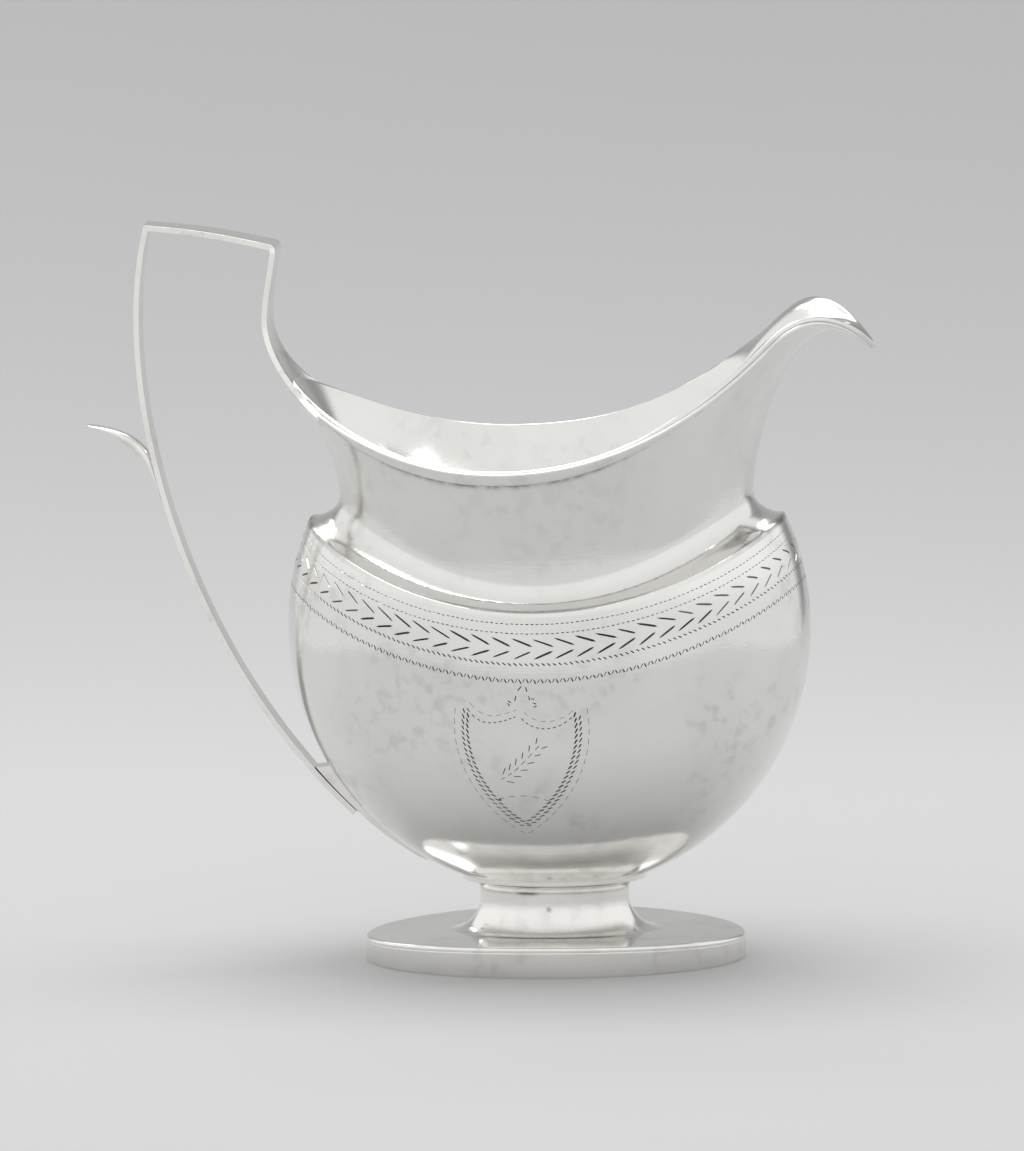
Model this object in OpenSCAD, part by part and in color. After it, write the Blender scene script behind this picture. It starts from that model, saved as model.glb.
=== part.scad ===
// Oval silver cream jug on a spool foot, with a saddle-shaped rim, a curled
// pouring lip and a flat strap handle. Millimetres, +Z up, standing on z = 0.
// +X points to the spout and -X to the handle. x = 0 is the middle of the
// jug's whole length, so the bowl's own axis stands body_x along +X.

/* [Sheet] */
// Thickness of the raised silver sheet of the bowl, neck and foot
sheet = 0.9; // [0.7:0.1:1.2]

/* [Bowl] */
// Length of the bowl at its widest level
bowl_length = 97.8; // [80:0.2:120]
// Width of the bowl at its widest level
bowl_width = 64; // [52:0.2:78]
// Half-height of the bowl's round section, were it closed at the top
bowl_half_height = 50; // [46:0.5:56]
// Height of the bowl's lowest point above the table
bowl_bottom_z = 12.9; // [10.8:0.1:16]
// Height of the bowl's shoulder edge above its lowest point, at the two ends
shoulder_end_rise = 70.8; // [66:0.1:76]
// How much lower the shoulder edge sags at the middle of the sides
shoulder_sag = 13.5; // [8:0.1:16]

/* [Neck] */
// Width of the concave ledge at the two ends
ledge_end = 5.9; // [4:0.1:8]
// Width of the concave ledge at the middle of the sides
ledge_side = 4.8; // [3:0.1:7]
// Height of the concave ledge at the two ends
ledge_end_rise = 4.5; // [3:0.1:6]
// Height of the concave ledge at the middle of the sides
ledge_side_rise = 5.1; // [3:0.1:7]
// Outward flare of the neck at the handle end
flare_handle = 8.8; // [6:0.1:11]
// Outward flare of the neck at the middle of the sides
flare_side = 4.2; // [3:0.1:7]
// Reach of the pouring lip beyond the foot of the neck
spout_reach = 22.7; // [18:0.1:28]
// Height of the rim's lowest point above the shoulder's lowest point
rim_low_rise = 26; // [22:0.1:30]
// Place of the rim's lowest point, from the bowl's axis
rim_low_x = -8; // [-14:0.5:0]
// Rise of the rim from its lowest point to the handle end
rim_handle_rise = 13.2; // [9:0.1:16]
// Rise of the rim from its lowest point to where the lip starts to curl
rim_lip_rise = 22.2; // [18:0.1:26]
// Rise of the lip's tip over the rim's lowest point
rim_tip_rise = 18.6; // [16:0.1:21]
// Length of the curled end of the lip
lip_length = 17; // [12:0.1:20]

/* [Rim wire] */
// Height of the flat wire around the rim
wire_height = 2.3; // [1.5:0.1:3]
// Thickness of the flat wire around the rim
wire_thickness = 0.8; // [0.5:0.1:1.2]

/* [Handle] */
// Thickness of the strap
strap_thickness = 1.1; // [0.8:0.1:1.4]
// Width of the strap at its top corner over the bowl
strap_width_top = 9; // [6:0.2:10]
// Width of the strap at its outer corner
strap_width_back = 6.4; // [5:0.2:9]
// Width of the strap where it lands on the bowl
strap_width_low = 5; // [4:0.2:7]
// Reach of the outer top corner behind the end of the rim
handle_reach = 26.7; // [20:0.1:32]
// Height of the outer top corner over the end of the rim
handle_rise = 29.8; // [24:0.1:34]
// Bow of the handle's back beyond its outer top corner
handle_bow = 7.8; // [4:0.1:12]
// Height over the bowl's lowest point at which the strap ends on the bowl
strap_end_rise = 16; // [13:0.1:22]
// Height of the spur's tip above the foot of its tail
spur_rise = 16.8; // [13:0.1:20]
// Distance that the spur stands out behind the strap
spur_reach = 14.9; // [11:0.1:18]
// Thickness of the backing tongue under the strap's lower end
tongue_thickness = 1; // [0.6:0.1:1.4]

/* [Foot] */
// Length of the oval foot
foot_length = 71.4; // [60:0.2:84]
// Width of the oval foot
foot_width = 45.4; // [38:0.2:54]
// Height of the foot's edge at the middle of the sides
foot_edge_height = 5.8; // [4:0.1:8]
// How much lower the foot's edge is at its two ends
foot_edge_droop = 1.1; // [0.6:0.1:1.6]
// Thickness of the upright strip under the foot's edge
foot_strip = 1.1; // [0.8:0.1:1.5]
// Length of the stem at its waist
stem_length = 28; // [24:0.2:34]
// Radius of the flare from the stem into the foot plate
stem_flare = 6.4; // [5:0.1:7.5]
// Reach of the collar where the stem opens out under the bowl
collar_reach = 3.2; // [2:0.1:4]
// Height of the collar's hollow curve
collar_rise = 1.7; // [1.2:0.1:2.2]
// Least thickness of the collar under the bowl
collar_edge = 0.4; // [0.3:0.1:0.8]

/* [Hidden] */
$fn = 96;
silver = "silver";

// ---- bowl, derived ----
bowl_a = bowl_length / 2;
bowl_b = bowl_width / 2;
bowl_c = bowl_half_height;
bowl_z = bowl_bottom_z + bowl_c;
shoulder_end_z = bowl_bottom_z + shoulder_end_rise;
shoulder_side_z = shoulder_end_z - shoulder_sag;
// half-length of the shoulder edge, and the radius of the saddle it lies on
shoulder_a = bowl_a * section_scale(shoulder_end_z);
saddle_radius = (pow(shoulder_a, 2) + pow(shoulder_sag, 2)) / (2 * shoulder_sag);

// ---- neck, derived ----
neck_a = shoulder_a - ledge_end;
neck_b = bowl_b * section_scale(shoulder_side_z) - ledge_side;
rim_handle_a = neck_a + flare_handle;
rim_spout_a = neck_a + spout_reach;
rim_b = neck_b + flare_side;
rim_low_z = shoulder_side_z + rim_low_rise;
lip_x = rim_spout_a - lip_length;
rim_power = 2.25;
curl_drop = (climb(rim_spout_a) - rim_tip_rise) / pow(lip_length, 2);
// the handle end of the rim follows a slightly narrowed oval
handle_end_power = 1.11;
neck_turns = 96;
turn_step = 360 / neck_turns;
ledge_steps = 7;
neck_steps = 13;
neck_rows = ledge_steps + neck_steps;

// ---- handle, derived ----
// half the turn of the rim that the strap's fishtail end covers, in steps
fishtail_steps = 8;
fishtail_angle = fishtail_steps * turn_step;
rim_end = rim_point(180);
corner_back = [rim_end[0] - handle_reach, rim_end[2] + handle_rise];
corner_front = [rim_end[0] - 1.6, rim_end[2] + 25.9];
corner_round = 1.6;
strap_end_z = bowl_bottom_z + strap_end_rise;
strap_stack = strap_thickness + tongue_thickness;
strap_end = bowl_offset(strap_end_z, strap_stack);
leg_pull = 46;
leg_lift = 3.3;
leg = [strap_end,
       strap_end + leg_pull * bowl_tangent(strap_end_z) + leg_lift * bowl_side_normal(strap_end_z),
       corner_back + [-handle_bow, -28.7], corner_back];
leg_steps = 24;
short_steps = 12;
spur_foot_step = 12;
spur_top_step = 14;

// ---- foot, derived ----
foot_a = foot_length / 2;
foot_b = foot_width / 2;
foot_ratio = foot_width / foot_length;
stem_a = stem_length / 2;
droop_radius = pow(foot_a, 2) / (2 * foot_edge_droop);
flare_end = stem_a + stem_flare;
flare_z = plate_z(flare_end);
collar_z = min([for (u = [0 : 5 : 90])
    collar_room(stem_a + collar_reach * (1 - cos(u))) - collar_edge - collar_rise * sin(u)]);

// ---- place of the bowl's axis, so that the whole length is centred ----
spur_tip = leg_point(spur_foot_step)[0] - spur_reach;
beak_tip = neck_skin(0, neck_rows, -sheet)[0];
body_x = -(spur_tip + beak_tip) / 2;

// ---------------------------------------------------------------- functions
// Size of the bowl's level section at height z, as a share of its widest one
function section_scale(z) = sqrt(1 - pow((z - bowl_z) / bowl_c, 2));

// Height of the saddle surface at x, dropped by a distance
function saddle_z(x, drop) =
    shoulder_side_z + saddle_radius - sqrt(pow(saddle_radius, 2) - x * x) - drop;

// Point at turn t where the saddle, dropped by drop, meets the bowl shell's
// face that lies inset inside its outer face
function saddle_point(t, drop, inset, x = 0, tries = 12) =
    let (a = bowl_a - inset, b = bowl_b - inset, c = bowl_c - inset)
    let (z = saddle_z(x, drop), k = sqrt(1 - pow((z - bowl_z) / c, 2)))
    tries == 0 ? [a * k * cos(t), b * k * sin(t), z]
               : saddle_point(t, drop, inset, a * k * cos(t), tries - 1);

// Signed turn, -180 to 180, counted from the spout
function signed(t) = t > 180 ? t - 360 : t;
function bell(t, spread) = exp(-pow(signed(t) / spread, 2));
function mix(a, b, k) = a + (b - a) * k;
function unit(v) = v / norm(v);
function bezier(p, s) = pow(1 - s, 3) * p[0] + 3 * s * pow(1 - s, 2) * p[1]
                      + 3 * s * s * (1 - s) * p[2] + pow(s, 3) * p[3];

// Rise of the rim over its lowest point on the way up to the spout
function climb(x) = rim_lip_rise * pow((x - rim_low_x) / (lip_x - rim_low_x), rim_power);
function rim_rise(x) =
    x < rim_low_x ? rim_handle_rise * pow((x - rim_low_x) / (rim_handle_a + rim_low_x), 2)
                  : climb(x) - curl_drop * pow(max(0, x - lip_x), 2);

// Outer top edge of the neck sheet at turn t
function rim_point(t) =
    let (c = cos(t), s = sin(t))
    let (x = c > 0 ? rim_spout_a * c : -rim_handle_a * pow(-c, handle_end_power))
    let (w = c > 0 ? abs(s) * (1 - 0.9 * bell(t, 26)) : pow(abs(s), handle_end_power))
    [x, sign(s) * rim_b * w, rim_low_z + rim_rise(x)];

// Where the ledge ends and the neck's flare begins
function neck_foot(t) =
    [neck_a * cos(t), neck_b * sin(t),
     saddle_point(t, 0, 0)[2] + mix(ledge_side_rise, ledge_end_rise, pow(cos(t), 2))];

// Four controls of the neck's profile at turn t; the lip curls over and down
function neck_controls(t) =
    let (foot = neck_foot(t), top = rim_point(t))
    let (out = unit([top[0] - foot[0], top[1] - foot[1]]), curl = bell(t, 24), tall = bell(t, 38))
    let (flare = norm([top[0] - foot[0], top[1] - foot[1]]))
    let (low = mix(0.1, 3.2, tall), high = mix(0.5 * flare, 5.4, curl))
    [foot,
     foot + [low * out[0], low * out[1], mix(6.5, 28, tall)],
     top - [high * out[0], high * out[1], mix(6, -10.6, curl)],
     top];

// Profile parameter at which the rim wire's lower edge crosses the neck
function wire_share(t) =
    let (c = neck_controls(t)) 1 - wire_height * beak_taper(t) / (3 * norm(c[3] - c[2]));
// The wire thins out towards the tip of the lip
function beak_taper(t) = 1 - 0.55 * bell(t, 20);

// Outer face of the neck sheet: ledge rows first, then flare rows up to the rim
function neck_outer(t, row) =
    row <= ledge_steps
    ? let (edge = saddle_point(t, 0, 0), foot = neck_foot(t), u = 90 * row / ledge_steps)
      [mix(edge[0], foot[0], sin(u)), mix(edge[1], foot[1], sin(u)), mix(edge[2], foot[2], 1 - cos(u))]
    : let (k = row - ledge_steps, w = wire_share(t), last = neck_steps - 1)
      bezier(neck_controls(t), k < last ? w * k / last : mix(w, 1, k - last));

// Outward normal of the neck's outer face, from its neighbours on the surface;
// it is turned towards the plane y = 0 in the beak, so that the two sides of
// the sheet never cross there
function neck_normal(t, row) =
    let (around = neck_outer(t + 0.5, row) - neck_outer(t - 0.5, row))
    let (up = neck_outer(t, min(row + 0.05, neck_rows)) - neck_outer(t, max(row - 0.05, 0)))
    let (n = unit(cross(around, up)))
    unit(mix(n, unit([n[0], 0, n[2]]), bell(t, 11)));

// Point over the neck's outer face, or inside it where the distance is negative
function neck_skin(t, row, distance) = neck_outer(t, row) + distance * neck_normal(t, row);

// Bowl outline in the plane y = 0, on the handle side, offset outwards
function bowl_side_x(z) = -bowl_a * section_scale(z);
function bowl_side_normal(z) =
    unit([bowl_side_x(z) / pow(bowl_a, 2), (z - bowl_z) / pow(bowl_c, 2)]);
function bowl_tangent(z) = let (n = bowl_side_normal(z)) [n[1], -n[0]];
function bowl_offset(z, distance) = [bowl_side_x(z), z] + distance * bowl_side_normal(z);

// Outside face of the strap's long leg, as [x, z], from the bowl up
function leg_point(step) = bezier(leg, step / leg_steps);
// Direction of the leg at a step, and its outward normal
function leg_along(step) = unit(leg_point(step + 1) - leg_point(step));
function leg_out(step) = let (d = leg_along(step)) [-d[1], d[0]];

// Outside face of the whole strap: long leg, top, rounded corner, short leg
function strap_path() =
    let (top_end = corner_front + corner_round * unit(corner_back - corner_front))
    let (leg_top = corner_front + corner_round * unit([-0.2, -1]))
    let (short = [leg_top, rim_xz() + [-3.4, 14.8], rim_xz() + [-5.8, 9], rim_xz()])
    concat([for (i = [0 : leg_steps]) leg_point(i)],
           [for (i = [1 : 5]) mix(corner_back, top_end, i / 6) + [0, 0.5 * sin(180 * i / 6)]],
           [for (i = [0 : 4]) round_corner(top_end, corner_front, leg_top, i / 4)],
           [for (i = [1 : short_steps]) bezier(short, i / short_steps)]);
function rim_xz() = [rim_end[0], rim_end[2]];
function round_corner(a, b, c, s) = pow(1 - s, 2) * a + 2 * s * (1 - s) * b + s * s * c;

// Mitred left-hand normal of a path at point i
function path_normal(path, i) =
    let (a = unit(path[i] - path[max(i - 1, 0)]), b = unit(path[min(i + 1, len(path) - 1)] - path[i]))
    let (first = i == 0 ? b : a, last = i == len(path) - 1 ? a : b)
    let (na = [-first[1], first[0]], nb = [-last[1], last[0]])
    (na + nb) / (1 + na * nb);

// Width of the strap at point i of its path
function strap_width(i) =
    i <= leg_steps ? mix(strap_width_low, strap_width_back, i / leg_steps)
    : i <= leg_steps + 10 ? mix(strap_width_back, strap_width_top, (i - leg_steps) / 10)
    : mix(strap_width_top, 12, pow((i - leg_steps - 10) / short_steps, 2));

// Height of the bowl's underside over the table at x and y
function bowl_under(x, y) =
    bowl_bottom_z + bowl_half_height * (1 - sqrt(1 - pow(2 * x / bowl_length, 2) - pow(2 * y / bowl_width, 2)));

// Lowest height of the bowl's underside over an oval of the stem with half-length a
function collar_room(a) = min(bowl_under(a, 0), bowl_under(0, foot_ratio * a));
// Height of the bowed foot plate's top over the table at x
function plate_z(x) = foot_edge_height - x * x / (2 * droop_radius);

// ------------------------------------------------------------------ helpers
// Closed solid from rings of points; each ring goes along one face and back
// along the other. The rings close on themselves or end in two caps
module ring_solid(rings, closed) {
    rows = len(rings);
    cols = len(rings[0]);
    points = [for (ring = rings) for (p = ring) p];
    last = closed ? rows - 1 : rows - 2;
    sides = [for (i = [0 : last], j = [0 : cols - 1])
        let (a = i * cols, b = ((i + 1) % rows) * cols, k = (j + 1) % cols)
        each [[a + j, a + k, b + k], [a + j, b + k, b + j]]];
    end = (rows - 1) * cols;
    caps = closed ? [] : [for (j = [0 : cols / 2 - 2])
        let (a = j, b = j + 1, c = cols - 2 - j, d = cols - 1 - j)
        each [[c, b, a], [d, c, a], [end + a, end + b, end + c], [end + a, end + c, end + d]]];
    polyhedron(points = points, faces = concat(sides, caps), convexity = 10);
}

module on_body_axis() {
    translate([body_x, 0, 0]) children();
}

// The bowl's round form, inset from its outer face
module bowl_form(inset) {
    translate([0, 0, bowl_z])
        scale([bowl_a - inset, bowl_b - inset, bowl_c - inset])
            sphere(r = 1);
}

// Everything above the saddle surface, dropped by a distance
module above_saddle(drop) {
    translate([0, 0, shoulder_side_z + saddle_radius - drop])
        rotate([90, 0, 0])
            cylinder(r = saddle_radius, h = 2 * bowl_width, center = true, $fn = 180);
}

// A flat outline in X and Z, made a bar that is centred on y = 0
module side_bar(points, width) {
    rotate([90, 0, 0])
        linear_extrude(height = width, center = true)
            polygon(points);
}

// ---------------------------------------------------------------- sub-parts
module bowl() {
    color(silver) on_body_axis()
        difference() {
            bowl_form(0);
            bowl_form(sheet);
            above_saddle(sheet);
        }
}

// One raised sheet: ledge, flaring neck and curled pouring lip
module neck() {
    rings = [for (i = [0 : neck_turns - 1])
        let (t = i * turn_step)
        concat([saddle_point(t, sheet, 0)],
               [for (row = [0 : neck_rows]) neck_outer(t, row)],
               [for (row = [neck_rows : -1 : 1]) neck_skin(t, row, -sheet)],
               [saddle_point(t, sheet, sheet)])];
    color(silver) on_body_axis() ring_solid(rings, true);
}

// Flat wire with rounded edges, from one side of the handle to the other
module rim_wire() {
    last = neck_turns / 2 - fishtail_steps;
    rings = [for (i = [-last : last])
        let (t = (i + neck_turns) % neck_turns * turn_step, thick = wire_thickness * beak_taper(t))
        let (low = neck_rows - 1, top = neck_rows)
        [neck_outer(t, low),
         neck_skin(t, low, 0.6 * thick),
         mix(neck_skin(t, low, thick), neck_skin(t, top, thick), 0.15),
         mix(neck_skin(t, low, thick), neck_skin(t, top, thick), 0.85),
         neck_skin(t, top, 0.6 * thick),
         neck_outer(t, top)]];
    color(silver) on_body_axis() ring_solid(rings, false);
}

// Flat strap; its short leg spreads into a fishtail that laps over the rim
module handle_strap() {
    path = strap_path();
    spread_from = len(path) - 8;
    across = [for (k = [fishtail_steps : -1 : -fishtail_steps]) k / fishtail_steps];
    free_rings = [for (i = [0 : len(path) - 1])
        let (spread = pow(max(0, (i - spread_from) / (len(path) - 1 - spread_from)), 3.4))
        strap_ring(path, i, across, spread)];
    lap_rings = [[for (f = across) neck_outer(180 + f * fishtail_angle, neck_rows - 1)],
                 [for (f = across) neck_skin(180 + f * fishtail_angle, neck_rows - 1, strap_thickness)]];
    lap = concat(lap_rings[0], [for (k = [len(across) - 1 : -1 : 0]) lap_rings[1][k]]);
    color(silver) on_body_axis() ring_solid(concat(free_rings, [lap]), false);
}

// One cross ring of the strap: outside face one way, inside face back
function strap_ring(path, i, across, spread) =
    let (n = path_normal(path, i), half = strap_width(i) / 2)
    let (face = [for (f = across)
            mix([path[i][0], -half * f, path[i][1]], neck_outer(180 + f * fishtail_angle, neck_rows), spread)],
         back = [for (f = across)
            mix([path[i][0] - strap_thickness * n[0], -half * f, path[i][1] - strap_thickness * n[1]],
                neck_skin(180 + f * fishtail_angle, neck_rows, strap_thickness), spread)])
    concat(face, [for (k = [len(across) - 1 : -1 : 0]) back[k]]);

// Curved spur: its tail lies on the strap, its tip stands out behind
module handle_spur() {
    tail = [for (i = [spur_foot_step : spur_top_step]) leg_point(i)];
    root = tail[len(tail) - 1];
    foot = tail[0];
    tip = [foot[0] - spur_reach, foot[1] + spur_rise];
    upper = [tip, tip + [7.5, -0.6],
             root + 3.6 * leg_along(spur_top_step) + 0.7 * leg_out(spur_top_step), root];
    lower = [tip + [0.1, -0.5], tip + [7.2, -1.9],
             foot + 9.1 * leg_along(spur_foot_step),
             foot + 0.12 * leg_out(spur_foot_step)];
    outline = concat(tail,
                     [for (i = [9 : -1 : 0]) bezier(upper, i / 10)],
                     [for (i = [0 : 10]) bezier(lower, i / 10)]);
    color(silver) on_body_axis()
        intersection() {
            side_bar(outline, strap_width_back);
            spur_plan(foot, tip);
        }
}

// The spur seen from behind: a straight tail that narrows to a round tip
module spur_plan(foot, tip) {
    tail_half = 2.6;
    tip_half = 1.7;
    translate([foot[0] - spur_reach / 2, 0, 0])
        rotate([90, 0, 90])
            linear_extrude(height = 3 * spur_reach, center = true)
                union() {
                    polygon([[-tail_half, foot[1] - 1], [tail_half, foot[1] - 1],
                             [tail_half, foot[1] + 9], [tip_half, tip[1] - tip_half + 0.3],
                             [-tip_half, tip[1] - tip_half + 0.3], [-tail_half, foot[1] + 9]]);
                    translate([0, tip[1] - tip_half + 0.3]) circle(r = tip_half, $fn = 32);
                }
}

// Thin backing tongue between the strap's lower end and the bowl
module handle_tongue() {
    path = strap_path();
    lap = [for (i = [2 : -1 : 0]) path[i] - strap_thickness * path_normal(path, i)];
    top_z = lap[0][1];
    low_z = bowl_bottom_z + 6.2;
    steps = 10;
    half = strap_width_low / 2;
    outer = concat(lap,
                   [for (i = [1 : steps]) let (s = i / steps)
                       bowl_offset(mix(strap_end_z, low_z, s), tongue_thickness * (1 - 0.4 * s))]);
    inner = [for (i = [0 : steps]) bowl_offset(mix(low_z, top_z, i / steps), -2)];
    color(silver) on_body_axis()
        difference() {
            intersection() {
                side_bar(concat(outer, inner), strap_width_low);
                rotate([90, 0, 90])
                    linear_extrude(height = 2 * bowl_length, center = true)
                        polygon([[-half, top_z + 3], [half, top_z + 3], [half, strap_end_z - 2],
                                 [0.6 * half, low_z], [0.3 * half, low_z - 1],
                                 [-0.3 * half, low_z - 1], [-0.6 * half, low_z], [-half, strap_end_z - 2]]);
            }
            bowl_form(0);
        }
}

// Hollow oval spool that flares into the bowed foot plate
module foot_stem() {
    color(silver) on_body_axis()
        difference() {
            union() {
                stem_tube();
                foot_plate();
            }
            bowl_form(0);
        }
}

module stem_tube() {
    steps = 12;
    centre = [flare_end, flare_z + stem_flare];
    outer = [for (i = [0 : steps]) let (u = 180 + 90 * i / steps)
        centre + stem_flare * [cos(u), sin(u)]];
    inner = [for (i = [steps : -1 : 0]) let (u = 180 + 90 * i / steps)
        centre + (stem_flare + sheet) * [cos(u), sin(u)]];
    top_z = bowl_bottom_z + 6;
    collar = [for (i = [0 : 8]) let (u = 90 * (1 - i / 8))
        [stem_a + collar_reach * (1 - cos(u)), collar_z + collar_rise * sin(u)]];
    scale([1, foot_ratio, 1])
        rotate_extrude()
            polygon(concat([[stem_a - sheet, top_z], [stem_a + collar_reach, top_z]], collar, outer, inner));
}

// Oval plate, bowed down towards its two ends, open under the stem
module foot_plate() {
    difference() {
        intersection() {
            foot_oval(0, 2 * foot_edge_height);
            under_bow(0);
        }
        under_bow(sheet);
        scale([flare_end - 1, foot_ratio * (flare_end - 1), 1])
            cylinder(r = 1, h = 4 * foot_edge_height, center = true);
    }
}

// Everything under the plate's bowed top, dropped by a distance
module under_bow(drop) {
    steps = 20;
    arc = [for (i = [0 : steps]) let (x = foot_a * 1.02 * (2 * i / steps - 1)) [x, plate_z(x) - drop]];
    side_bar(concat([[-1.02 * foot_a, -foot_length], [1.02 * foot_a, -foot_length]],
                    [for (i = [steps : -1 : 0]) arc[i]]), 2 * foot_width);
}

// Upright oval block around z = 0, its outline inset from the foot's edge
module foot_oval(inset, height) {
    scale([foot_a - inset, foot_b - inset, 1])
        cylinder(r = 1, h = height, center = true);
}

// Upright strip under the edge of the foot plate
module foot_rim() {
    color(silver) on_body_axis()
        difference() {
            intersection() {
                foot_oval(0, 2 * foot_edge_height);
                under_bow(sheet);
            }
            foot_oval(foot_strip, 4 * foot_edge_height);
            translate([0, 0, -foot_edge_height])
                cube([2 * foot_length, 2 * foot_length, 2 * foot_edge_height], center = true);
        }
}

bowl();
neck();
rim_wire();
handle_strap();
handle_spur();
handle_tongue();
foot_stem();
foot_rim();
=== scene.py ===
import logging
import math
from dataclasses import dataclass, field
from enum import Enum

import bpy
import numpy as np
from mathutils import Matrix, Vector


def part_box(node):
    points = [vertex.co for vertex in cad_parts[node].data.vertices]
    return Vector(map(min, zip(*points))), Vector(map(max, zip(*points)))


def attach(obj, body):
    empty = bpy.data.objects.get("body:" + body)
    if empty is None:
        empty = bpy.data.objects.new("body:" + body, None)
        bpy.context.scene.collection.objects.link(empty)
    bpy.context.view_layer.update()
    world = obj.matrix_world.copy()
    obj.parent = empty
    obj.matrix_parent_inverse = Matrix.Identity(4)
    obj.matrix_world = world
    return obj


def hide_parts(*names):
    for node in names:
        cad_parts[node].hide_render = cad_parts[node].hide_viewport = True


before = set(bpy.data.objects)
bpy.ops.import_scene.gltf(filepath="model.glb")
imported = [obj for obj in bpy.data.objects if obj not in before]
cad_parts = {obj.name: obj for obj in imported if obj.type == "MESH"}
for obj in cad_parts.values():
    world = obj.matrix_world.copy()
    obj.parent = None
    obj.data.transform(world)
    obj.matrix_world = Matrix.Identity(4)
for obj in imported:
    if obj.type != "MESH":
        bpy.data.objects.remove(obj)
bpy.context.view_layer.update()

# The jug is worked out in millimetres, as its maker would, and put into the
# scene in metres. Angles round the jug are counted from the spout, in radians.

MM = 0.001
BODY = "root"
LOG = logging.getLogger("cream_jug")


class End(Enum):
    """How a row of section rings is finished at one end."""

    FLAT = "flat"
    POINT = "point"


class Motif(Enum):
    """The graver's marks on the jug."""

    CHEVRON = "chevron"
    BEADED_LINE = "beaded_line"
    ROPE_LINE = "rope_line"
    WRIGGLE_LINE = "wriggle_line"
    SHIELD = "shield"


# ----------------------------------------------------------------- geometry
def unit(v: np.ndarray) -> np.ndarray:
    """Scales each vector of an array to length one.

    Args:
        v: Vectors along the last axis.

    Returns:
        The vectors at length one.
    """
    return v / np.maximum(np.linalg.norm(v, axis=-1, keepdims=True), 1e-12)


def mix(a: np.ndarray, b: np.ndarray, k: np.ndarray) -> np.ndarray:
    """Blends from a to b by the share k."""
    return a + (b - a) * k


def bezier(points: list[np.ndarray], s: np.ndarray) -> np.ndarray:
    """Evaluates a cubic Bezier curve.

    Args:
        points: Its four controls, each with its coordinates along the last axis.
        s: Parameters from 0 to 1, of the shape of the controls without that axis.

    Returns:
        The points on the curve.
    """
    s = np.asarray(s, float)[..., None]
    p0, p1, p2, p3 = points
    return (1 - s) ** 3 * p0 + 3 * s * (1 - s) ** 2 * p1 + 3 * s * s * (1 - s) * p2 + s ** 3 * p3


def bell(turn: np.ndarray, spread_deg: float) -> np.ndarray:
    """A smooth share that is one at the spout and fades over a spread in degrees."""
    signed = np.degrees((turn + math.pi) % (2 * math.pi) - math.pi)
    return np.exp(-(signed / spread_deg) ** 2)


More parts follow.
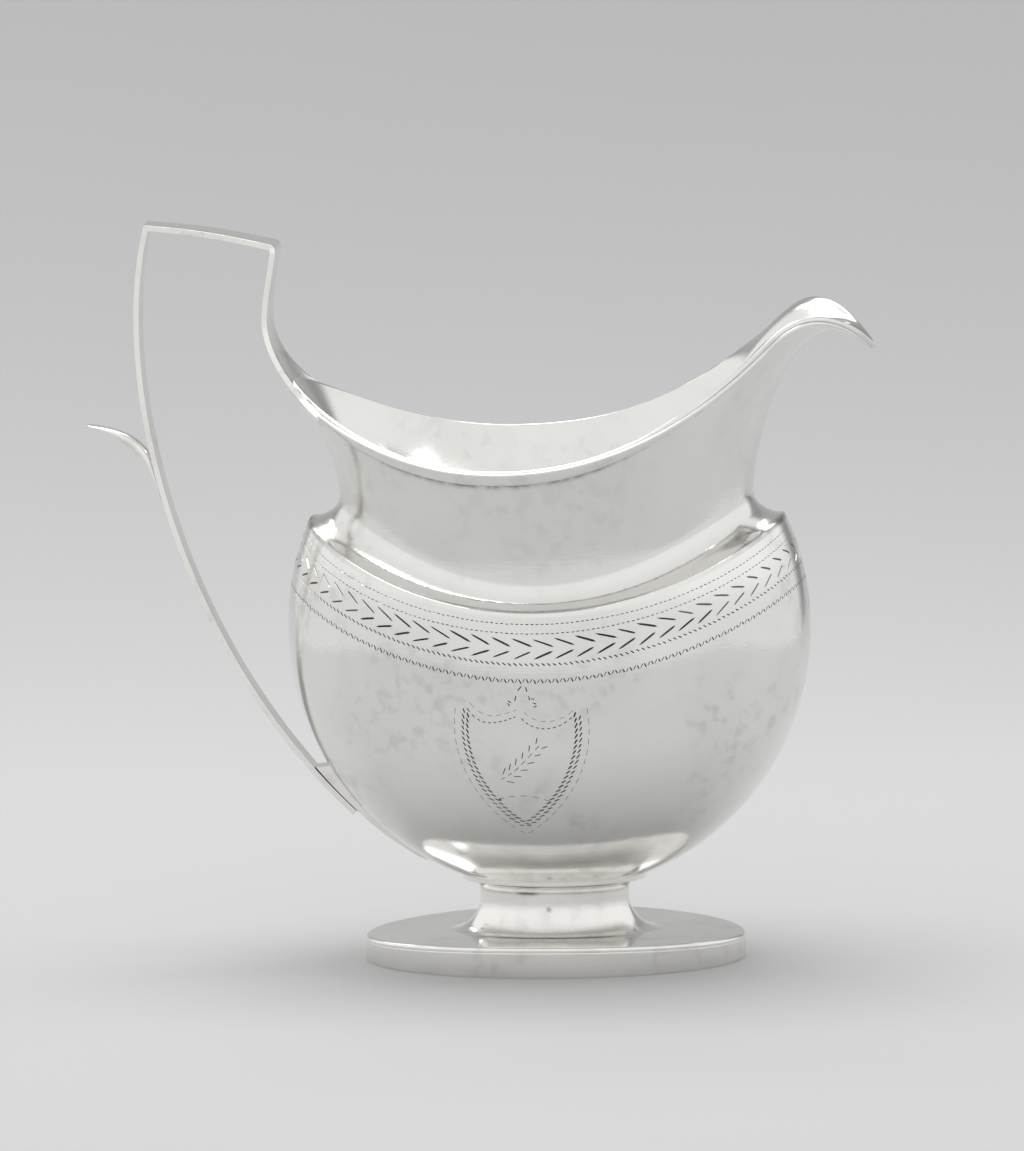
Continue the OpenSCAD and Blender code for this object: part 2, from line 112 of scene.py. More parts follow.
@dataclass(frozen=True)
class JugForm:
    """The jug's sizes in millimetres, and the surfaces that follow from them."""

    sheet: float = 0.9
    bowl_a: float = 48.9
    bowl_b: float = 31.98
    bowl_c: float = 50.0
    bowl_bottom_z: float = 12.9
    shoulder_end_rise: float = 70.8
    shoulder_sag: float = 13.5
    ledge_end: float = 5.9
    ledge_side: float = 4.8
    ledge_end_rise: float = 4.5
    ledge_side_rise: float = 5.1
    flare_handle: float = 8.8
    flare_side: float = 4.2
    spout_reach: float = 22.7
    rim_low_rise: float = 26.0
    rim_low_x: float = -8.0
    rim_handle_rise: float = 13.2
    rim_lip_rise: float = 22.2
    rim_tip_rise: float = 18.6
    lip_length: float = 17.0
    rim_power: float = 2.25
    handle_end_power: float = 1.11
    wire_height: float = 2.3
    wire_thickness: float = 0.8
    strap_thickness: float = 1.1
    strap_width_top: float = 9.0
    strap_width_back: float = 6.4
    strap_width_low: float = 5.0
    handle_reach: float = 26.69
    handle_rise: float = 29.8
    handle_bow: float = 7.8
    strap_end_rise: float = 16.0
    spur_rise: float = 16.8
    spur_reach: float = 14.9
    tongue_thickness: float = 1.0
    foot_a: float = 35.7
    foot_b: float = 22.7
    foot_edge_height: float = 5.8
    foot_edge_droop: float = 1.1
    foot_strip: float = 1.1
    stem_a: float = 14.0
    stem_flare: float = 6.4
    collar_reach: float = 3.2
    collar_rise: float = 1.7
    collar_edge: float = 0.4
    fishtail_deg: float = 30.0

    @property
    def bowl_z(self) -> float:
        """Height of the bowl's widest level."""
        return self.bowl_bottom_z + self.bowl_c

    @property
    def shoulder_end_z(self) -> float:
        """Height of the shoulder edge at the two ends."""
        return self.bowl_bottom_z + self.shoulder_end_rise

    @property
    def shoulder_side_z(self) -> float:
        """Height of the shoulder edge at the middle of the sides."""
        return self.shoulder_end_z - self.shoulder_sag

    def section_scale(self, z: np.ndarray) -> np.ndarray:
        """Size of the bowl's level section at a height, as a share of its widest one."""
        return np.sqrt(np.maximum(1 - ((z - self.bowl_z) / self.bowl_c) ** 2, 0))

    @property
    def shoulder_a(self) -> float:
        """Half-length of the shoulder edge."""
        return float(self.bowl_a * self.section_scale(self.shoulder_end_z))

    @property
    def saddle_radius(self) -> float:
        """Radius of the lying cylinder on which the shoulder edge runs."""
        return (self.shoulder_a ** 2 + self.shoulder_sag ** 2) / (2 * self.shoulder_sag)

    def saddle_height(self, x: np.ndarray, drop: float = 0.0) -> np.ndarray:
        """Height of the saddle surface at x, lowered by a drop."""
        r = self.saddle_radius
        return self.shoulder_side_z + r - np.sqrt(r * r - x * x) - drop

    def saddle_points(self, turn: np.ndarray, drop: float, inset: float) -> np.ndarray:
        """Finds where the lowered saddle meets a face of the bowl.

        Args:
            turn: Angles round the jug.
            drop: How far the saddle is lowered.
            inset: How far the face lies inside the bowl's outer face.

        Returns:
            One point for each angle.
        """
        a, b, c = self.bowl_a - inset, self.bowl_b - inset, self.bowl_c - inset
        x = np.zeros_like(turn)
        z = self.saddle_height(x, drop)
        for _ in range(14):
            k = np.sqrt(1 - ((z - self.bowl_z) / c) ** 2)
            x = a * k * np.cos(turn)
            z = self.saddle_height(x, drop)
        return np.stack([x, b * k * np.sin(turn), z], -1)

    @property
    def neck_a(self) -> float:
        """Half-length of the neck where it rises from the ledge."""
        return self.shoulder_a - self.ledge_end

    @property
    def neck_b(self) -> float:
        """Half-width of the neck where it rises from the ledge."""
        return float(self.bowl_b * self.section_scale(self.shoulder_side_z)) - self.ledge_side

    def rim_points(self, turn: np.ndarray) -> np.ndarray:
        """Outer top edge of the neck sheet, all the way round and over the lip.

        Args:
            turn: Angles round the jug.

        Returns:
            One point for each angle.
        """
        front, back = self.neck_a + self.spout_reach, self.neck_a + self.flare_handle
        c, s = np.cos(turn), np.sin(turn)
        n = self.handle_end_power
        x = np.where(c > 0, front * c, -back * np.abs(c) ** n)
        wide = np.where(c > 0, np.abs(s) * (1 - 0.9 * bell(turn, 26)), np.abs(s) ** n)
        y = np.sign(s) * (self.neck_b + self.flare_side) * wide
        lip_x = front - self.lip_length

        def climb(at: np.ndarray) -> np.ndarray:
            """Rise of the rim towards the lip at x."""
            up = np.maximum(at - self.rim_low_x, 0) / (lip_x - self.rim_low_x)
            return self.rim_lip_rise * up ** self.rim_power

        curl = (climb(np.array(front)) - self.rim_tip_rise) / self.lip_length ** 2
        back_rise = self.rim_handle_rise * ((x - self.rim_low_x) / (back + self.rim_low_x)) ** 2
        rise = np.where(x < self.rim_low_x, back_rise, climb(x) - curl * np.maximum(x - lip_x, 0) ** 2)
        return np.stack([x, y, self.shoulder_side_z + self.rim_low_rise + rise], -1)

    def neck_foot(self, turn: np.ndarray) -> np.ndarray:
        """Line where the ledge ends and the neck's flare begins."""
        c, s = np.cos(turn), np.sin(turn)
        z = self.saddle_points(turn, 0, 0)[..., 2] + mix(self.ledge_side_rise, self.ledge_end_rise, c * c)
        return np.stack([self.neck_a * c, self.neck_b * s, z], -1)

    def neck_controls(self, turn: np.ndarray) -> list[np.ndarray]:
        """Four controls of the neck's profile at each angle; the lip curls over and down.

        Args:
            turn: Angles round the jug.

        Returns:
            The controls, from the foot of the flare to the rim.
        """
        foot, top = self.neck_foot(turn), self.rim_points(turn)
        run = (top - foot) * [1, 1, 0]
        flare = np.linalg.norm(run, axis=-1)
        out = unit(run)
        curl, tall = bell(turn, 24), bell(turn, 38)
        up = np.array([0.0, 0.0, 1.0])
        low, high = mix(0.1, 3.2, tall)[..., None], mix(0.5 * flare, 5.4, curl)[..., None]
        p1 = foot + low * out + mix(6.5, 28.0, tall)[..., None] * up
        p2 = top - high * out - mix(6.0, -10.6, curl)[..., None] * up
        return [foot, p1, p2, top]

    def neck_skin(self, turn: np.ndarray, v: np.ndarray) -> np.ndarray:
        """Outer face of the neck sheet.

        Args:
            turn: Angles round the jug.
            v: Place up the profile: 0 to 1 over the ledge, 1 to 2 up the flare to the rim.

        Returns:
            Points of the face.
        """
        u = np.clip(v, 0, 1) * math.pi / 2
        edge, foot = self.saddle_points(turn, 0, 0), self.neck_foot(turn)
        share = np.stack([np.sin(u), np.sin(u), 1 - np.cos(u)], -1)
        ledge = mix(edge, foot, share)
        flare = bezier(self.neck_controls(turn), v - 1)
        return np.where((v > 1)[..., None], flare, ledge)

    def neck_normal(self, turn: np.ndarray, v: np.ndarray) -> np.ndarray:
        """Outward normal of the neck's outer face, kept in the plane y = 0 at the beak."""
        da, dv = 0.004, 0.002
        around = self.neck_skin(turn + da, v) - self.neck_skin(turn - da, v)
        up = self.neck_skin(turn, np.minimum(v + dv, 2.0)) - self.neck_skin(turn, np.maximum(v - dv, 0.0))
        n = unit(np.cross(around, up))
        return unit(mix(n, unit(n * [1, 0, 1]), bell(turn, 11)[..., None]))

    def wire_share(self, turn: np.ndarray) -> np.ndarray:
        """Place up the flare at which the rim wire's lower edge crosses the neck."""
        c = self.neck_controls(turn)
        return 1 - self.wire_height * self.beak_taper(turn) / (3 * np.linalg.norm(c[3] - c[2], axis=-1))

    def beak_taper(self, turn: np.ndarray) -> np.ndarray:
        """The rim wire thins out towards the tip of the lip."""
        return 1 - 0.55 * bell(turn, 20)

    def bowl_side_normal(self, z: np.ndarray) -> np.ndarray:
        """Outward normal of the bowl's outline on the handle side, in the plane y = 0."""
        x = -self.bowl_a * self.section_scale(z)
        return unit(np.stack([x / self.bowl_a ** 2, (z - self.bowl_z) / self.bowl_c ** 2], -1))

    def bowl_side(self, z: np.ndarray, offset: float) -> np.ndarray:
        """The bowl's outline on the handle side, moved outwards."""
        x = -self.bowl_a * self.section_scale(z)
        return np.stack([x, z + 0 * x], -1) + np.asarray(offset)[..., None] * self.bowl_side_normal(z)

    def bowl_under(self, x: np.ndarray, y: np.ndarray) -> np.ndarray:
        """Height of the bowl's underside over a place on the table."""
        return self.bowl_z - self.bowl_c * np.sqrt(1 - (x / self.bowl_a) ** 2 - (y / self.bowl_b) ** 2)

    @property
    def collar_z(self) -> float:
        """Height at which the stem starts to open into its collar."""
        u = np.radians(np.arange(0, 91, 5))
        a = self.stem_a + self.collar_reach * (1 - np.cos(u))
        under = np.minimum(self.bowl_under(a, 0 * a), self.bowl_under(0 * a, self.foot_b / self.foot_a * a))
        return float(np.min(under - self.collar_edge - self.collar_rise * np.sin(u)))

    def plate_height(self, x: np.ndarray) -> np.ndarray:
        """Height of the bowed foot plate's top at x."""
        return self.foot_edge_height - self.foot_edge_droop * (x / self.foot_a) ** 2


# ------------------------------------------------------------------- meshes
@dataclass
class RingSkin:
    """A closed skin through rows of points, kept in millimetres round the bowl's axis."""

    name: str
    rings: np.ndarray
    looped: bool = False
    ends: tuple[End, End] = (End.FLAT, End.FLAT)
    points: tuple[np.ndarray | None, np.ndarray | None] = (None, None)

    def build(self, shift: float) -> bpy.types.Object:
        """Makes the mesh object with its faces outwards.

        Args:
            shift: Place of the bowl's axis along X, in millimetres.

        Returns:
            The linked object, in metres.
        """
        rows, cols = self.rings.shape[:2]
        verts = list(self.rings.reshape(-1, 3))
        faces: list[list[int]] = []
        for i in range(rows if self.looped else rows - 1):
            a, b = i * cols, (i + 1) % rows * cols
            for j in range(cols):
                k = (j + 1) % cols
                faces.append([a + j, a + k, b + k, b + j])
        if not self.looped:
            for which, start in ((0, 0), (1, (rows - 1) * cols)):
                order = range(cols)
                if self.ends[which] is End.FLAT:
                    faces.append([start + j for j in (reversed(order) if which == 0 else order)])
                    continue
                verts.append(self.points[which])
                tip = len(verts) - 1
                for j in order:
                    pair = [start + j, start + (j + 1) % cols]
                    faces.append([tip] + (pair[::-1] if which == 0 else pair))
        co = (np.array(verts) + [shift, 0, 0]) * MM
        return mesh_object(self.name, co, faces)


def mesh_object(name: str, co: np.ndarray, faces: list[list[int]]) -> bpy.types.Object:
    """Makes a smooth-shaded object, and turns it outwards if it encloses a negative volume.

    Args:
        name: The piece's name.
        co: Its points, in metres.
        faces: Its faces, as rows of point numbers.

    Returns:
        The linked object.
    """
    mesh = bpy.data.meshes.new(name)
    mesh.from_pydata(co.tolist(), [], faces)
    mesh.update()
    if enclosed_volume(mesh) < 0:
        mesh.flip_normals()
    obj = bpy.data.objects.new(name, mesh)
    bpy.context.scene.collection.objects.link(obj)
    mesh.shade_smooth()
    return obj


def enclosed_volume(mesh: bpy.types.Mesh) -> float:
    """Signed volume that a closed mesh encloses, in cubic metres."""
    mesh.calc_loop_triangles()
    co = np.empty(len(mesh.vertices) * 3)
    mesh.vertices.foreach_get("co", co)
    tri = np.empty(len(mesh.loop_triangles) * 3, np.int32)
    mesh.loop_triangles.foreach_get("vertices", tri)
    p = co.reshape(-1, 3)[tri.reshape(-1, 3)]
    return float(np.einsum("ij,ij->i", p[:, 0], np.cross(p[:, 1], p[:, 2])).sum() / 6)


def jug_points(obj: bpy.types.Object, shift: float) -> np.ndarray:
    """An object's points in millimetres, with the bowl's axis at x = 0."""
    co = np.empty(len(obj.data.vertices) * 3)
    obj.data.vertices.foreach_get("co", co)
    return co.reshape(-1, 3) / MM - [shift, 0, 0]


def store_grime_and_shade(obj: bpy.types.Object, amount: np.ndarray) -> None:
    """Stores how much grime and painted shade lies at each point, for the finish to read."""
    layer = obj.data.attributes.new("seam", "FLOAT", "POINT")
    layer.data.foreach_set("value", amount.astype(np.float32).ravel())


def soften(obj: bpy.types.Object, angle_deg: float) -> None:
    """Marks the edges that are sharper than an angle, so that the rest shade smoothly."""
    obj.data.shade_smooth()
    obj.data.set_sharp_from_angle(angle=math.radians(angle_deg))


def baked(obj: bpy.types.Object) -> bpy.types.Object:
    """Turns an object's evaluated result into its own plain mesh, and removes its modifiers.

    Args:
        obj: An object with live modifiers.

    Returns:
        The same object, with a plain mesh.
    """
    bpy.context.view_layer.update()
    graph = bpy.context.evaluated_depsgraph_get()
    mesh = bpy.data.meshes.new_from_object(obj.evaluated_get(graph), depsgraph=graph)
    obj.modifiers.clear()
    old = obj.data
    obj.data = mesh
    mesh.name = obj.name
    if old.users == 0:
        bpy.data.meshes.remove(old)
    return obj


# -------------------------------------------------------------- node helper
class Tree:
    """A thin hand for writing node trees."""

    def __init__(self, tree: bpy.types.NodeTree) -> None:
        """Starts on an empty tree."""
        self.tree = tree
        tree.nodes.clear()

    def add(self, kind: str, inputs: dict | None = None, **props: object) -> bpy.types.Node:
        """Adds a node.

        Args:
            kind: The node's type name.
            inputs: Values or output sockets, by input name or number.
            **props: Settings of the node itself.

        Returns:
            The node.
        """
        node = self.tree.nodes.new(kind)
        for key, value in props.items():
            setattr(node, key, value)
        for key, value in (inputs or {}).items():
            if isinstance(value, bpy.types.NodeSocket):
                self.tree.links.new(value, node.inputs[key])
            else:
                node.inputs[key].default_value = value
        return node

    def math(self, operation: str, *values: object) -> bpy.types.NodeSocket:
        """Adds a Math node and returns its result."""
        return self.add("ShaderNodeMath", dict(enumerate(values)), operation=operation).outputs[0]

    def dress(self, mesh: bpy.types.NodeSocket, finish: bpy.types.NodeSocket) -> None:
        """Ends a geometry tree: gives the mesh its material and hands it out."""
        dressed = self.add("GeometryNodeSetMaterial", {"Geometry": mesh, "Material": finish}).outputs[0]
        self.tree.links.new(dressed, self.add("NodeGroupOutput").inputs[0])

    def scaled(self, vector: bpy.types.NodeSocket, by: object) -> bpy.types.NodeSocket:
        """Scales a vector by a number."""
        node = self.add("ShaderNodeVectorMath", {0: vector, "Scale": by}, operation="SCALE")
        return node.outputs[0]

    def summed(self, a: bpy.types.NodeSocket, b: bpy.types.NodeSocket) -> bpy.types.NodeSocket:
        """Adds two vectors."""
        return self.add("ShaderNodeVectorMath", {0: a, 1: b}, operation="ADD").outputs[0]


def geometry_group(name: str, inputs: dict[str, str]) -> bpy.types.NodeTree:
    """Makes a geometry node group with its sockets.

    Args:
        name: The group's name.
        inputs: The kind of each named input that follows the geometry.

    Returns:
        The group, without nodes.
    """
    group = bpy.data.node_groups.new(name, "GeometryNodeTree")
    for label, kind in {"Geometry": "Geometry", **inputs}.items():
        group.interface.new_socket(label, in_out="INPUT", socket_type="NodeSocket" + kind)
    group.interface.new_socket("Geometry", in_out="OUTPUT", socket_type="NodeSocketGeometry")
    return group


def socket_id(group: bpy.types.NodeTree, name: str) -> str:
    """Identifier of a group's named input."""
    for item in group.interface.items_tree:
        if item.item_type == "SOCKET" and item.in_out == "INPUT" and item.name == name:
            return item.identifier
    raise KeyError(name)


# ----------------------------------------------------------------- finishes
@dataclass(frozen=True)
class SilverFinish:
    """Worn polished silver: soft clouding, tarnish spots, hair scratches and hammer marks, and a darkening
    read from a point attribute that holds grime and painted shade.
    """

    name: str
    colour: tuple[float, float, float] = (0.84, 0.835, 0.815)
    dull: tuple[float, float, float] = (0.62, 0.615, 0.59)
    # Colour of the grime, also used for the painted shade under the rim wire.
    grime_and_shade_colour: tuple[float, float, float] = (0.16, 0.15, 0.13)
    roughness: float = 0.13
    rough_spread: float = 0.10
    spot_depth: float = 0.45
    spot_scale: float = 320.0
    cloud_scale: float = 38.0
    scratch_strength: float = 0.035
    hammer_strength: float = 0.10
    hammer_scale: float = 85.0

    def build(self) -> bpy.types.Material:
        """Writes the material's nodes.

        Returns:
            The material.
        """
        material = bpy.data.materials.new(self.name)
        material.use_nodes = True
        t = Tree(material.node_tree)
        where = t.add("ShaderNodeTexCoord").outputs["Object"]
        cloud = t.add("ShaderNodeTexNoise", {"Vector": where, "Scale": self.cloud_scale,
                                             "Detail": 4.0, "Roughness": 0.6}).outputs[0]
        spots = t.add("ShaderNodeTexNoise", {"Vector": where, "Scale": self.spot_scale,
                                             "Detail": 3.0, "Roughness": 0.55}).outputs[0]
        patch = self._ramp(t, cloud, 0.44, 0.62)
        spot = t.math("MULTIPLY", self._ramp(t, spots, 0.48, 0.66), patch)
        worn = t.math("MULTIPLY", self._ramp(t, cloud, 0.35, 0.65), 0.24)
        seam = t.add("ShaderNodeAttribute", attribute_name="seam").outputs["Fac"]
        dullness = t.math("MINIMUM", t.math("ADD", t.math("MULTIPLY", spot, self.spot_depth), worn), 1.0)
        colour = t.add("ShaderNodeMix", {0: dullness, 6: (*self.colour, 1), 7: (*self.dull, 1)},
                       data_type="RGBA").outputs[2]
        # Darkens by the stored point attribute: grime in joints and pits, and painted shade under the rim
        # wire.
        broken = t.math("MULTIPLY", self._ramp(t, spots, 0.38, 0.6), 0.65)
        ragged = t.math("MULTIPLY", seam, t.math("ADD", 0.35, broken))
        colour = t.add("ShaderNodeMix", {0: ragged, 6: colour, 7: (*self.grime_and_shade_colour, 1)},
                       data_type="RGBA").outputs[2]
        fine = t.add("ShaderNodeTexNoise", {"Vector": where, "Scale": 900.0, "Detail": 2.0}).outputs[0]
        rough = t.math("ADD", self.roughness, t.math("MULTIPLY", dullness, self.rough_spread))
        rough = t.math("ADD", rough, t.math("MULTIPLY", t.math("SUBTRACT", fine, 0.5), 0.05))
        shader = t.add("ShaderNodeBsdfPrincipled", {"Base Color": colour, "Roughness": rough})
        shader.inputs["Metallic"].default_value = 1.0
        shader.inputs["IOR"].default_value = 1.45
        t.tree.links.new(self._relief(t, where), shader.inputs["Normal"])
        out = t.add("ShaderNodeOutputMaterial")
        t.tree.links.new(shader.outputs[0], out.inputs[0])
        return material

    def _ramp(self, t: Tree, value: bpy.types.NodeSocket, low: float, high: float) -> bpy.types.NodeSocket:
        """Maps a value smoothly from 0 at low to 1 at high."""
        node = t.add("ShaderNodeMapRange", {0: value, 1: low, 2: high}, interpolation_type="SMOOTHSTEP")
        return node.outputs[0]

    def _relief(self, t: Tree, where: bpy.types.NodeSocket) -> bpy.types.NodeSocket:
        """Adds the planished waves and the hair scratches as bumps.

        Args:
            t: The tree being written.
            where: Object coordinates.

        Returns:
            The normal for the shader.
        """
        waves = t.add("ShaderNodeTexNoise", {"Vector": where, "Scale": self.hammer_scale,
                                             "Detail": 1.0, "Roughness": 0.4}).outputs[0]
        hammered = t.add("ShaderNodeBump", {"Height": waves, "Strength": self.hammer_strength,
                                            "Distance": 0.0012})
        stretched = t.add("ShaderNodeMapping", {"Vector": where, "Rotation": (0.3, 0.5, 0.2),
                                                "Scale": (70.0, 1500.0, 1900.0)}).outputs[0]
        hairs = t.add("ShaderNodeTexNoise", {"Vector": stretched, "Scale": 1.0, "Detail": 2.0}).outputs[0]
        scratched = t.add("ShaderNodeBump", {"Height": hairs, "Strength": self.scratch_strength,
                                             "Distance": 0.0004, "Normal": hammered.outputs[0]})
        return scratched.outputs[0]


@dataclass(frozen=True)
class PaperFinish:
    """Matt pale paper, with painted shade that makes it a little greyer towards its far end."""

    name: str
    colour: tuple[float, float, float] = (0.475, 0.475, 0.475)
    far_painted_shade: float = 0.72

    def build(self) -> bpy.types.Material:
        """Writes the material's nodes.

        Returns:
            The material.
        """
        material = bpy.data.materials.new(self.name)
        material.use_nodes = True
        t = Tree(material.node_tree)
        where = t.add("ShaderNodeTexCoord").outputs["Object"]
        grain = t.add("ShaderNodeTexNoise", {"Vector": where, "Scale": 5.0, "Detail": 3.0}).outputs[0]
        tone = t.math("ADD", 0.98, t.math("MULTIPLY", grain, 0.04))
        back = t.add("ShaderNodeSeparateXYZ", {0: where}).outputs[1]
        # Painted shade: the paper's colour darkens towards the back and up the backdrop, standing in for the
        # light's falloff.
        painted_falloff = t.add("ShaderNodeMapRange", {0: back, 1: 0.18, 2: 0.60, 3: 1.0, 4: self.far_painted_shade},
                     interpolation_type="SMOOTHSTEP").outputs[0]
        tone = t.math("MULTIPLY", tone, painted_falloff)
        colour = t.add("ShaderNodeMix", {0: 1.0, 6: (*self.colour, 1), 7: tone},
                       data_type="RGBA", blend_type="MULTIPLY").outputs[2]
        shader = t.add("ShaderNodeBsdfPrincipled", {"Base Color": colour})
        shader.inputs["Roughness"].default_value = 0.9
        shader.inputs["Specular IOR Level"].default_value = 0.1
        out = t.add("ShaderNodeOutputMaterial")
        t.tree.links.new(shader.outputs[0], out.inputs[0])
        return material


# ----------------------------------------------------------------- engraving
@dataclass
class Strokes:
    """Cuts of the graver: where each lies on the bowl, and how long, wide and deep it is."""

    centre: list[np.ndarray] = field(default_factory=list)
    along: list[np.ndarray] = field(default_factory=list)
    size: list[tuple[float, float, float]] = field(default_factory=list)

    def cut(self, start: np.ndarray, end: np.ndarray, width: float, depth: float) -> None:
        """Adds one straight cut between two points of the bowl's face, in millimetres."""
        self.centre.append((start + end) / 2)
        self.along.append(end - start)
        self.size.append((float(np.linalg.norm(end - start)), width, depth))


@dataclass
class Engraving:
    """The engraved band under the shoulder and the shield on the side."""

    form: JugForm
    chevrons: int = 66
    beads: int = 270
    rope_cuts: int = 250
    wriggles: int = 190
    shield_x: float = -2.35
    seed: int = 11

    def on_bowl(self, turn: float, z: float) -> np.ndarray:
        """Point of the bowl's outer face at an angle and a height."""
        k = float(self.form.section_scale(np.array(z)))
        return np.array([self.form.bowl_a * k * math.cos(turn), self.form.bowl_b * k * math.sin(turn), z])

    def on_side(self, x: float, z: float, side: float = -1.0) -> np.ndarray:
        """Point of the bowl's outer face at an x and a height, on one side."""
        f = self.form
        k = float(f.section_scale(np.array(z)))
        return np.array([x, side * f.bowl_b * math.sqrt(max(k * k - (x / f.bowl_a) ** 2, 0)), z])

    def band_point(self, turn: float, low_z: float) -> np.ndarray:
        """Point of the line that keeps step with the saddle and is at low_z on the sides."""
        lift = 13.6 + 0.07 * (68.5 - low_z)
        return self.on_bowl(turn, low_z + lift * math.cos(turn) ** 2)

    def even_turns(self, low_z: float, count: int) -> np.ndarray:
        """Angles that part one line of the band into even lengths.

        Args:
            low_z: Height of the line on the sides.
            count: How many parts.

        Returns:
            The angles at which the parts start, and the closing one.
        """
        fine = np.linspace(0, 2 * math.pi, 1441)
        line = np.array([self.band_point(t, low_z) for t in fine])
        run = np.concatenate([[0], np.cumsum(np.linalg.norm(np.diff(line, axis=0), axis=1))])
        return np.interp(np.linspace(0, run[-1], count + 1), run, fine)

    def draw(self, motif: Motif, strokes: Strokes) -> None:
        """Adds all the cuts of one motif.

        Args:
            motif: Which of the graver's marks.
            strokes: The list that they join.
        """
        rng = np.random.default_rng(self.seed + list(Motif).index(motif))
        {Motif.CHEVRON: self._chevrons, Motif.BEADED_LINE: self._beaded_lines,
         Motif.ROPE_LINE: self._rope_line, Motif.WRIGGLE_LINE: self._wriggle_line,
         Motif.SHIELD: self._shield}[motif](strokes, rng)

    def _chevrons(self, strokes: Strokes, rng: np.random.Generator) -> None:
        """Rows of long tapering cuts that meet in points towards the spout."""
        turns = self.even_turns(63.6, self.chevrons)
        pitch = 2 * math.pi / self.chevrons
        for t in turns[:-1]:
            toward = -1.0 if math.sin(t) > 0 else 1.0
            for top, inner, span in ((65.95, 63.72, 1.22), (61.35, 63.42, 1.12)):
                shake = rng.normal(0, 0.08, 3)
                reach = toward * pitch * span * rng.uniform(0.86, 1.1)
                tail = self.band_point(t - reach * 0.5 + 0.004 * shake[0], top + shake[1])
                point = self.band_point(t + reach * 0.5, inner + 0.5 * shake[2])
                strokes.cut(tail, point, rng.uniform(0.62, 0.92), rng.uniform(0.20, 0.28))

    def _beaded_lines(self, strokes: Strokes, rng: np.random.Generator) -> None:
        """Two thin lines of short end-to-end cuts over the chevrons."""
        for low_z, count in ((68.2, self.beads), (66.45, self.beads)):
            turns = self.even_turns(low_z, count)
            for a, b in zip(turns[:-1], turns[1:]):
                start = self.band_point(mix(a, b, 0.06), low_z + rng.normal(0, 0.03))
                end = self.band_point(mix(a, b, rng.uniform(0.90, 1.0)), low_z + rng.normal(0, 0.03))
                strokes.cut(start, end, rng.uniform(0.30, 0.44), rng.uniform(0.09, 0.13))

    def _rope_line(self, strokes: Strokes, rng: np.random.Generator) -> None:
        """A line of close slanting cuts under the chevrons, like a laid rope."""
        turns = self.even_turns(60.7, self.rope_cuts)
        for a, b in zip(turns[:-1], turns[1:]):
            step = b - a
            start = self.band_point(a - 0.10 * step, 61.08 + rng.normal(0, 0.05))
            end = self.band_point(b - 0.16 * step, 60.34 + rng.normal(0, 0.05))
            if math.sin(a) > 0:
                start[2], end[2] = end[2], start[2]
            strokes.cut(start, end, rng.uniform(0.44, 0.56), rng.uniform(0.12, 0.17))

    def _wriggle_line(self, strokes: Strokes, rng: np.random.Generator) -> None:
        """The lowest line, walked from side to side with a flat graver."""
        turns = self.even_turns(57.6, 2 * self.wriggles)
        for i, (a, b) in enumerate(zip(turns[:-1], turns[1:])):
            high = 58.15 + rng.normal(0, 0.06)
            low = 57.05 + rng.normal(0, 0.06)
            z0, z1 = (high, low) if i % 2 else (low, high)
            start, end = self.band_point(mix(a, b, 0.05), z0), self.band_point(mix(a, b, 0.9), z1)
            strokes.cut(start, end, 0.52 if i % 2 else 0.34, 0.17 if i % 2 else 0.09)

    def _shield(self, strokes: Strokes, rng: np.random.Generator) -> None:
        """A shield with a leafy double edge, swags over it and a plain spray inside."""
        self._shield_edges(strokes, rng)
        self._shield_top(strokes)
        self._shield_spray(strokes)

    def _outline(self, grow: float) -> np.ndarray:
        """Side and bottom edge of the shield from ear to ear, as x and z in millimetres.

        Args:
            grow: How far outside the middle of the leafy edge it runs.

        Returns:
            Points, evenly spread along the edge.
        """
        half, top, bottom = 10.7 + grow, 52.2, 29.2 - grow
        a = [np.array([-half + 0.4, top + 0.3 * grow]), np.array([-half - 1.6, 42.0]),
             np.array([-half + 4.2, 33.2 - 0.4 * grow]), np.array([-0.4, bottom])]
        b = [np.array([-0.4, bottom]), np.array([half - 4.4, 33.6 - 0.4 * grow]),
             np.array([half + 1.2, 42.5]), np.array([half - 0.6, top + 0.3 * grow])]
        s = np.linspace(0, 1, 60)
        line = np.concatenate([bezier(a, s), bezier(b, s)[1:]])
        run = np.concatenate([[0], np.cumsum(np.linalg.norm(np.diff(line, axis=0), axis=1))])
        even = np.linspace(0, run[-1], 301)
        return np.stack([np.interp(even, run, line[:, 0]), np.interp(even, run, line[:, 1])], -1)

    def _line_cuts(self, strokes: Strokes, line: np.ndarray, step: int, cover: float,
                   width: float, depth: float) -> None:
        """Cuts one line of the shield in short lengths that end just short of each other."""
        last = len(line) - 1
        for i in range(0, last - step + 1, step):
            start = line[i]
            end = mix(line[i], line[i + step], cover)
            strokes.cut(self.on_side(self.shield_x + start[0], start[1]),
                        self.on_side(self.shield_x + end[0], end[1]), width, depth)

    def _shield_edges(self, strokes: Strokes, rng: np.random.Generator) -> None:
        """The thin outer line and the leafy edge inside it."""
        self._line_cuts(strokes, self._outline(2.0), 10, 0.92, 0.20, 0.05)
        middle = self._outline(0.0)
        tangent = unit(np.gradient(middle, axis=0))
        side = np.stack([-tangent[:, 1], tangent[:, 0]], -1)
        for i in range(4, len(middle) - 4, 6):
            lean = 0.85 * (1 if middle[i][0] < -0.4 else -1)
            for shift, width in ((0.42, 0.66), (-0.42, 0.54)):
                at = middle[i] + side[i] * shift + tangent[i] * 0.35 * np.sign(shift)
                half = (0.72 * tangent[i] + lean * 0.42 * side[i]) * rng.uniform(0.8, 1.05)
                a, b = at - half, at + half
                strokes.cut(self.on_side(self.shield_x + a[0], a[1]),
                            self.on_side(self.shield_x + b[0], b[1]), width, rng.uniform(0.14, 0.20))

